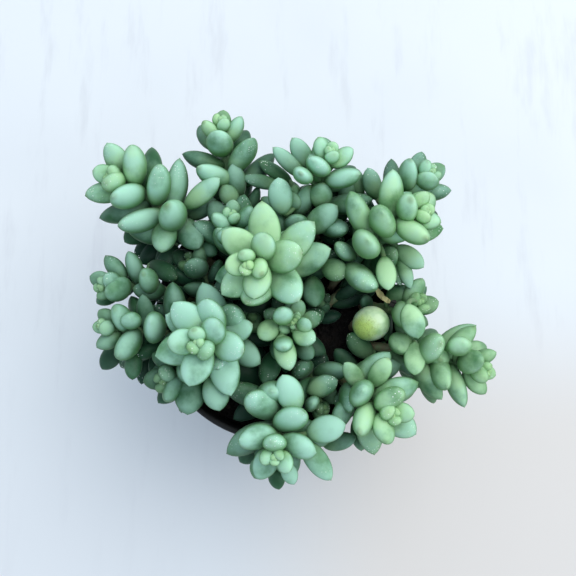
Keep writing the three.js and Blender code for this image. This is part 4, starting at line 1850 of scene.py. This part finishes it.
    def thicken(self, first: float = 3.5, turn: float = 68, own_gap: float = -1.3, gap: float = -0.5) -> None:
        """Adds leaves between the others wherever a stem shows through.

        Args:
            first: the youngest age that they take.
            turn: their first turn to try, from the spiral's own, in degrees.
            own_gap: the least clearance to their own stem's leaves.
            gap: the least clearance to all else.
        """
        for order, stem in enumerate(self.stems):
            for age in np.arange(first, len(stem.places) - 1, 1.0):
                self.between(order, float(age), turn, own_gap, gap)

    def add_shoots(self, gap: float = -0.4) -> None:
        """Grows the small low shoots in the room that the others leave.

        Args:
            gap: the least clearance of their leaves.
        """
        nudges = self.nudges(scales=(1.0, 0.85, 0.7, 0.58), tilts=(0.0, -14.0, 12.0, -28.0))
        for row in SMALL_SHOOTS:
            order = len(self.stems)
            stem = Stem(row, order, self.growth, self.pot)
            self.stems.append(stem)
            for age in range(min(row.leaves, len(stem.places))):
                self.settle(order, age, stem.draw_leaf(), nudges, gap)

    def fill_out(self, gap: float = -0.5) -> None:
        """Adds the lower leaves, and those that found no room, pressed a little into their neighbours.

        Args:
            gap: the least clearance of the leaves.
        """
        nudges = self.nudges(scales=(1.0, 0.85, 0.7, 0.58), tilts=(0.0, -12.0, 10.0, -24.0, -36.0, -48.0))
        for order, stem in enumerate(self.stems):
            for age, draw in stem.missed:
                self.settle(order, age, draw, nudges, gap)
        for age in range(max(len(stem.places) for stem in self.stems)):
            for order, stem in enumerate(self.stems):
                if stem.row.leaves <= age < len(stem.places):
                    self.settle(order, age, stem.draw_leaf(), nudges, gap)


@dataclass(frozen=True)
class LeafForm:
    """How finely a leaf is built, and how its smooth form departs from an even one."""

    sides: int = 22
    rings: int = 17
    flat_face: float = 0.86
    wobble: float = 0.018
    ridges: float = 0.7
    point: float = 1.015
    arch: float = 0.08
    widest: float = 0.5
    base_power: float = 0.60
    end_round: float = 2.2
    plump: float = 1.09
    bud_point: float = 0.49
    full_point: float = 0.70
    full_age: float = 11.0

    def outline(self, share: Array, age: float) -> Array:
        """Half width of the smooth leaf, as a share of its widest: round in the bud, pointed when full.

        Args:
            share: of the leaf's length.
            age: of the leaf.

        Returns:
            The half width at each share.
        """
        base = reached(share, self.widest, 0.0)
        end = reached(share, self.widest, 1.0)
        point = self.bud_point + (self.full_point - self.bud_point) * min(1.0, age / self.full_age)
        return (1 - base ** 2) ** self.base_power * (1 - end ** self.end_round) ** point

    def shell(self, leaf: Leaf, rng: Rng) -> tuple[Array, Array]:
        """Points of a smooth leaf.

        Args:
            leaf: the leaf in place.
            rng: source of the draws.

        Returns:
            The points, ring by ring and then the root and the tip, and each point's share of the length.
        """
        share = 0.5 - 0.5 * np.cos(math.pi * np.arange(1, self.rings + 1) / (self.rings + 1))
        angle = round_angles(self.sides)
        phase = rng.uniform(0, FULL_TURN, 3)
        ridges = self.ridges * np.sin(3 * angle + phase[1]) * np.sin(3 * share[:, None] + phase[2])
        uneven = 1 + self.wobble * (np.sin(2 * angle + phase[0]) + ridges)
        half = self.outline(share, leaf.age)[:, None] * uneven * self.plump / 2
        across = half * np.cos(angle) * leaf.width
        lift = half * np.sin(angle) * leaf.thick * np.where(np.sin(angle) > 0, self.flat_face, 1.0)
        lift = lift + self.arch * leaf.length * share[:, None] ** 2
        run = np.repeat(share[:, None] * leaf.length, self.sides, axis=1)
        side = np.cross(leaf.run, leaf.face)
        points = leaf.root + across[..., None] * side + run[..., None] * leaf.run
        points = points + lift[..., None] * leaf.face
        tip = leaf.root + leaf.run * leaf.length * self.point + leaf.face * self.arch * leaf.length
        points = np.concatenate([points.reshape(-1, 3), [leaf.root], [tip]])
        return points, np.concatenate([np.repeat(share, self.sides), [0.0, 1.0]])


@dataclass(frozen=True)
class LeafBuilder:
    """Builds leaves with the marks that their skin reads; lengths in millimetres.

    Depth, the painted shade that the skin darkens by, counts in full at the low height and not at all at the
    high one. It fades out with the distance from the pot's axis, most towards the bright side and not at all
    at the back, and a shade of it comes in towards the left end, away from the light.
    """

    form: LeafForm = LeafForm()
    low: float = 80.0
    high: float = 105.0
    bright_side: Pair = (0.75, -0.66)
    bright_reach: Pair = (10.0, 72.0)
    bright_share: float = 0.75
    rim_reach: Pair = (40.0, 60.0)
    rim_share: float = 0.5
    back_reach: Pair = (15.0, 45.0)
    shade: float = 0.12
    shade_reach: Pair = (-25.0, -50.0)
    youth_ages: float = 7.0
    cooling: float = 0.40
    cooling_ages: Pair = (6.0, 13.0)
    plain_share: float = 0.66
    fewest_specks: float = 0.4
    least_tone: float = 0.05
    hue_draw: float = 0.25

    def depth(self, points: Array) -> Array:
        """How deep in the plant points lie, which sets the painted shade on their leaves.

        Args:
            points: one row of x, y, z a point.

        Returns:
            The depth of each, from 0 in the open to 1.
        """
        x, y, z = points.T
        out = reached(points[:, :2] @ np.array(self.bright_side), *self.bright_reach)
        rim = reached(np.hypot(x, y), *self.rim_reach)
        out = np.maximum(out, self.rim_share * rim * (1 - reached(y, *self.back_reach)))
        depth = reached(z, self.high, self.low) * (1 - self.bright_share * out)
        return np.minimum(depth + self.shade * reached(x, *self.shade_reach), 1.0)

    def add(self, draft: MeshDraft, leaf: Leaf, warmth: float, rng: Rng) -> None:
        """Adds a leaf.

        Args:
            draft: the mesh that takes it.
            leaf: the leaf in place.
            warmth: how yellow its stem's green is.
            rng: source of the draws.
        """
        points, along = self.form.shell(leaf, rng)
        specks = float(rng.uniform() > self.plain_share) * rng.uniform(self.fewest_specks, 1.0)
        tone = rng.uniform(self.least_tone, 1.0)
        cooled = warmth - self.cooling * reached(leaf.age, *self.cooling_ages)
        hue = cooled + rng.uniform(-self.hue_draw, self.hue_draw)
        marks = {
            Mark.ALONG: along,
            Mark.TONE: tone,
            Mark.YOUTH: max(0.0, 1.0 - leaf.age / self.youth_ages),
            # Painted shade, darker deeper in the plant.
            Mark.DEPTH: self.depth(points),
            Mark.SPECKS: specks,
            Mark.HUE: float(np.clip(hue, 0, 1)),
        }
        draft.add(points, capped_faces(self.form.rings, self.form.sides), marks=marks)


@dataclass
class LeafyStem:
    """One stem of the plant as a fine piece: its tube, and its leaves."""

    stem: Stem
    growth: Growth
    order: int
    builder: LeafBuilder = LeafBuilder()
    tube_sides: int = 14
    tube_start: float = 0.6
    tube_step: float = 0.9
    tube_share: float = 0.96
    buried_rings: int = 7
    tip_share: float = 0.25
    taper_length: float = 6.0
    scar_rise: float = 0.12
    scar_turn: float = 1.7
    first_seed: int = 100

    def add_tube(self, draft: MeshDraft) -> None:
        """Adds the stem's tube, ringed by faint scars, from below the soil line to the growing tip.

        Args:
            draft: the mesh that takes it.
        """
        g, stem = self.growth, self.stem
        lengths = np.arange(self.tube_start, stem.total, self.tube_step)
        depths = np.linspace(0.0, g.buried, self.buried_rings)
        places = [stem.along(length)[0] for length in lengths]
        places += [stem.points[-1] - np.array([0.0, 0.0, depth]) for depth in depths]
        number = np.arange(len(places))
        taper = np.minimum(1.0, self.tip_share + number * self.tube_step / self.taper_length)
        scars = self.scar_rise * np.sin(number * self.scar_turn)
        radii = g.stem_radius * self.tube_share * taper + scars
        points, faces = tube(np.array(places), radii, self.tube_sides)
        along = np.append(np.repeat(number / number[-1], self.tube_sides), [0.0, 1.0])
        draft.add(points, faces, material=1, marks={Mark.ALONG: along})

    def build(self, leaf_skin: Material, stem_skin: Material) -> Piece:
        """Makes the stem in place of its solid.

        Args:
            leaf_skin: the leaves' material.
            stem_skin: the tube's material.

        Returns:
            The leafy stem.
        """
        rng = np.random.default_rng(self.first_seed + self.order)
        draft = MeshDraft()
        for leaf in self.stem.leaves:
            self.builder.add(draft, leaf, self.stem.row.warmth, rng)
        self.add_tube(draft)
        piece = draft.build("leafy_" + self.stem.row.name, [leaf_skin, stem_skin])
        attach(piece, "root")
        if self.stem.row in STEMS:
            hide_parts(self.stem.row.name)
        return piece


@dataclass
class PlacedLeaves:
    """The listed leaves, each on a short side twig from the nearest stem, as one piece."""

    leaves: list[Leaf]
    stems: list[Stem]
    builder: LeafBuilder = LeafBuilder()
    twig_radius: float = 0.9
    twig_sides: int = 10
    twig_steps: int = 12
    twig_sunk: float = 0.2
    twig_swing: float = 0.3
    twig_age: float = 0.3
    above_cost: float = 0.5
    seed: int = 77

    def nearest(self, leaf: Leaf) -> tuple[Stem, Array]:
        """The stem that a leaf belongs to, and the point where its side twig leaves it.

        Args:
            leaf: the leaf in place.

        Returns:
            The stem and the point, near the leaf's root and better below it than above.
        """
        found = []
        for stem in self.stems:
            above = np.maximum(stem.points[:, 2] - leaf.root[2], 0.0)
            reach = np.linalg.norm(stem.points - leaf.root, axis=1) + self.above_cost * above
            found.append((float(reach.min()), stem, stem.points[np.argmin(reach)]))
        return min(found, key=lambda entry: entry[0])[1:]

    def twig(self, leaf: Leaf, start: Array) -> Shell:
        """The side twig that carries a leaf.

        Args:
            leaf: the leaf in place.
            start: where it leaves the stem.

        Returns:
            The points and the faces.
        """
        end = leaf.root + leaf.run * self.twig_sunk * leaf.length
        middle = leaf.root - leaf.run * self.twig_swing * np.linalg.norm(leaf.root - start)
        t = np.linspace(0, 1, self.twig_steps)[:, None]
        places = (1 - t) ** 2 * start + 2 * t * (1 - t) * middle + t * t * end
        return tube(places, np.full(len(places), self.twig_radius), self.twig_sides)

    def build(self, leaf_skin: Material, stem_skin: Material) -> Piece:
        """Makes the piece.

        Args:
            leaf_skin: the leaves' material.
            stem_skin: the twigs' material.

        Returns:
            The piece.
        """
        rng = np.random.default_rng(self.seed)
        draft = MeshDraft()
        for leaf in self.leaves:
            stem, start = self.nearest(leaf)
            self.builder.add(draft, leaf, stem.row.warmth, rng)
            draft.add(*self.twig(leaf, start), material=1, marks={Mark.ALONG: self.twig_age})
        piece = draft.build("placed_leaves", [leaf_skin, stem_skin])
        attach(piece, "root")
        return piece


@dataclass
class OldLeaf:
    """The swollen yellowing leaf on its stub of stem."""

    shape: OldLeafShape
    growth: Growth
    pot: PotShape
    finish: OldLeafFinish = OldLeafFinish()
    form: LeafForm = LeafForm(sides=64, rings=44, flat_face=1.0, wobble=0.022, point=1.0, plump=1.0)
    patch_side: Place = (-0.62, -0.42, 0.66)
    stub_sides: int = 18
    stub_step: float = 0.7
    stub_share: float = 0.95
    stub_end: float = 0.5
    stub_age: float = 0.9
    scar_rise: float = 0.1
    scar_turn: float = 2.3
    seed: int = 5

    def add_stub(self, draft: MeshDraft) -> None:
        """Adds the stub of stem, ringed by faint scars, from below the soil line into the leaf.

        Args:
            draft: the mesh that takes it.
        """
        foot = self.pot.soil_top + self.pot.soil_crown - self.growth.buried
        top = self.shape.root[2] + self.shape.sunk
        radius = self.growth.stem_radius * self.stub_share
        heights = np.arange(foot, top, self.stub_step)
        side = [[radius + self.scar_rise * math.sin(h * self.scar_turn), h] for h in heights]
        outline = np.array([[0.0, foot], *side, [radius * self.stub_end, top], [0.0, top]])
        points, faces = turned(outline, self.stub_sides)
        points += np.array([*self.shape.foot, 0.0])
        draft.add(points, faces, material=1, marks={Mark.ALONG: self.stub_age})

    def build(self, effects: Effects, stem_skin: Material) -> Piece:
        """Makes the leaf and its stub in place of their solid.

        Args:
            effects: the shared node groups.
            stem_skin: the stub's material.

        Returns:
            The piece.
        """
        leaf = self.shape.leaf(shown=True)
        draft = MeshDraft()
        points, along = self.form.shell(leaf, np.random.default_rng(self.seed))
        middle = leaf.root + leaf.run * leaf.length * 0.5
        outward = (points - middle) / np.linalg.norm(points - middle, axis=1)[:, None]
        patch = np.clip(outward @ unit(np.array(self.patch_side)), 0.0, 1.0)
        faces = capped_faces(self.form.rings, self.form.sides)
        draft.add(points, faces, marks={Mark.ALONG: along, Mark.PATCH: patch})
        self.add_stub(draft)
        piece = draft.build("swollen_old_leaf", [self.finish.material(effects), stem_skin])
        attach(piece, "root")
        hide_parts("old_leaf")
        return piece


@dataclass(frozen=True)
class Scrap:
    """A curled dry scrap.

    pixel is where the photo shows its middle, height, length and width are in millimetres, turn is the turn
    it lies at and curl how far it curls, in degrees, and tone goes from straw at 0 to black at 1.
    """

    pixel: Pixel
    height: float
    length: float
    width: float
    turn: float
    curl: float
    tone: float


@dataclass
class DriedScraps:
    """Withered leaves and stem ends that lie against the swollen leaf and on the soil."""

    view: PhotoView
    finish: DryFinish = DryFinish()
    rings: int = 22
    sides: int = 16
    thick: float = 0.45
    width_power: float = 0.6
    thick_power: float = 0.4
    cup: float = 0.10
    crease: float = 0.22
    creases: float = 17.0
    crease_slant: float = 1.1
    fold: float = 0.15
    folds: float = 3.0
    widest_phase: float = 6.28
    seed: int = 23
    scraps: tuple[Scrap, ...] = (
        Scrap((380, 295), 90.0, 7.0, 2.2, -55.0, 110.0, 0.14),
        Scrap((386, 300), 91.0, 5.0, 1.8, -35.0, 120.0, 0.0),
        Scrap((376, 289), 88.0, 6.0, 1.6, -65.0, 70.0, 0.45),
        Scrap((393, 304), 93.5, 3.4, 2.6, 60.0, 110.0, 1.0),
        Scrap((297, 377), 84.0, 4.2, 1.3, 10.0, 170.0, 0.0),
        Scrap((301, 383), 82.0, 4.5, 2.2, 40.0, 100.0, 0.8),
        Scrap((419, 331), 90.0, 2.4, 1.6, 70.0, 60.0, 0.5),
    )

    def shell(self, scrap: Scrap, rng: Rng) -> Shell:
        """A curled, crinkled scrap as a closed shell.

        Args:
            scrap: the scrap.
            rng: source of the draws.

        Returns:
            The points and the faces.
        """
        share = (np.arange(self.rings) + 0.5) / self.rings
        swell = np.sin(math.pi * share)
        angle = round_angles(self.sides)
        half = swell ** self.width_power * scrap.width / 2
        across = half[:, None] * np.cos(angle)
        phase = rng.uniform(0, self.widest_phase, 2)
        lift = (self.thick / 2) * swell[:, None] ** self.thick_power * np.sin(angle)
        lift = lift + self.cup * scrap.width * (across / scrap.width * 2) ** 2 * 4
        slanted = share[:, None] * self.creases + phase[0] + across * self.crease_slant
        lift = lift + self.crease * np.sin(slanted)
        lift = lift + self.fold * np.sin(across * self.folds + phase[1])
        curl, turn = math.radians(scrap.curl), math.radians(scrap.turn)
        bend = curl * (share - 0.5)
        radius = scrap.length / curl
        x = (radius - lift) * np.sin(bend)[:, None]
        z = radius - (radius - lift) * np.cos(bend)[:, None]
        east = x * math.cos(turn) - across * math.sin(turn)
        north = x * math.sin(turn) + across * math.cos(turn)
        points = np.stack([east, north, z], -1)
        ends = [points[0].mean(axis=0), points[-1].mean(axis=0)]
        points = np.concatenate([points.reshape(-1, 3), ends]) + self.view.at(scrap.pixel, scrap.height)
        return points, capped_faces(self.rings, self.sides)

    def build(self, effects: Effects) -> Piece:
        """Makes the scraps as one piece.

        Args:
            effects: the shared node groups.

        Returns:
            The piece.
        """
        rng = np.random.default_rng(self.seed)
        draft = MeshDraft()
        for scrap in self.scraps:
            points, faces = self.shell(scrap, rng)
            draft.add(points, faces, marks={Mark.TONE: scrap.tone})
        piece = draft.build("dried_scraps", [self.finish.material(effects)])
        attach(piece, "root")
        return piece


# The studio


@dataclass
class Studio:
    """Pale floor, soft light from the upper right, and the camera of the photo, with lengths in metres."""

    view: PhotoView
    finish: FloorFinish = FloorFinish()
    floor_size: float = 4.0
    sky: Colour = (0.77, 0.88, 1.0)
    sky_strength: Ease = Ease(-0.6, 0.9, 0.69, 1.36)
    sky_side: Place = (0.72, 0.69, 0.0)
    key_place: Place = (0.72, 0.52, 1.5)
    key_aim: Place = (0.0, 0.0, 0.09)
    key_size: float = 1.5
    key_power: float = 13.2
    key_colour: Colour = (1.0, 0.93, 0.82)
    nearest: float = 0.01
    farthest: float = 20.0

    def floor(self) -> Piece:
        """Makes the floor.

        Returns:
            The floor.
        """
        half = self.floor_size / 2 / MM
        corners = np.array([[-half, -half, 0.0], [half, -half, 0.0], [half, half, 0.0], [-half, half, 0.0]])
        draft = MeshDraft()
        draft.add(corners, [np.array([[0, 1, 2, 3]])])
        floor = draft.build("floor", [self.finish.material()], smooth=False)
        return floor

    def light(self) -> None:
        """Makes the sky and the soft key light."""
        scene = bpy.context.scene
        world = bpy.data.worlds.new("soft_sky")
        world.use_nodes = True
        add = ShaderTree(world.node_tree)
        sockets = {0: add.node("ShaderNodeTexCoord").outputs["Generated"], 1: self.sky_side}
        towards = add.node("ShaderNodeVectorMath", sockets, operation="DOT_PRODUCT").outputs["Value"]
        sky = {"Color": (*self.sky, 1.0), "Strength": add.ramp(towards, self.sky_strength)}
        add.feed(world.node_tree.nodes["Background"], sky)
        scene.world = world
        lamp = bpy.data.lights.new("soft_window", "AREA")
        lamp.shape, lamp.size = "DISK", self.key_size
        lamp.energy, lamp.color = self.key_power, self.key_colour
        window = bpy.data.objects.new("soft_window", lamp)
        window.location = self.key_place
        aim = Vector(self.key_aim) - Vector(self.key_place)
        window.rotation_euler = aim.to_track_quat("-Z", "Y").to_euler()
        scene.collection.objects.link(window)

    def camera(self) -> None:
        """Makes the camera at the photo's place."""
        scene = bpy.context.scene
        data = bpy.data.cameras.new("photo_view")
        data.lens, data.sensor_width = self.view.lens, self.view.sensor
        data.clip_start, data.clip_end = self.nearest, self.farthest
        camera = bpy.data.objects.new("photo_view", data)
        camera.location = Vector(self.view.place) * MM
        camera.rotation_euler = (math.radians(self.view.tilt), 0.0, 0.0)
        scene.collection.objects.link(camera)
        scene.camera = camera

    def build(self) -> None:
        """Sets up the studio and the way its light is shown."""
        self.floor()
        self.light()
        self.camera()
        view = bpy.context.scene.view_settings
        view.view_transform, view.look = "Standard", "None"
        view.exposure, view.gamma = 0.0, 1.0


def main() -> None:
    """Builds the studio, the pot, the soil and the plant."""
    logging.basicConfig(level=logging.INFO, format="%(message)s")
    view = PhotoView()
    Studio(view).build()
    effects = Effects.make()
    shape, growth, old_shape = PotShape(), Growth(), OldLeafShape()
    pieces = [Pot(shape).build(effects), Soil(shape).build(effects)]
    crowd = Crowd(growth, shape, old_shape)
    crowd.grow()
    crowd.bend()
    crowd.place(view)
    crowd.keep_open(view)
    crowd.fill_out()
    crowd.thicken()
    crowd.add_shoots()
    leaf_skin, stem_skin = LeafFinish().material(effects), StemFinish().material(effects)
    for order, stem in enumerate(crowd.stems):
        pieces.append(LeafyStem(stem, growth, order).build(leaf_skin, stem_skin))
    pieces.append(PlacedLeaves(crowd.placed, crowd.stems).build(leaf_skin, stem_skin))
    pieces.append(OldLeaf(old_shape, growth, shape).build(effects, stem_skin))
    pieces.append(DriedScraps(view).build(effects))
    for piece in pieces:
        LOG.info("%s: %d faces", piece.name, len(piece.data.polygons))


if __name__ == "__main__":
    main()
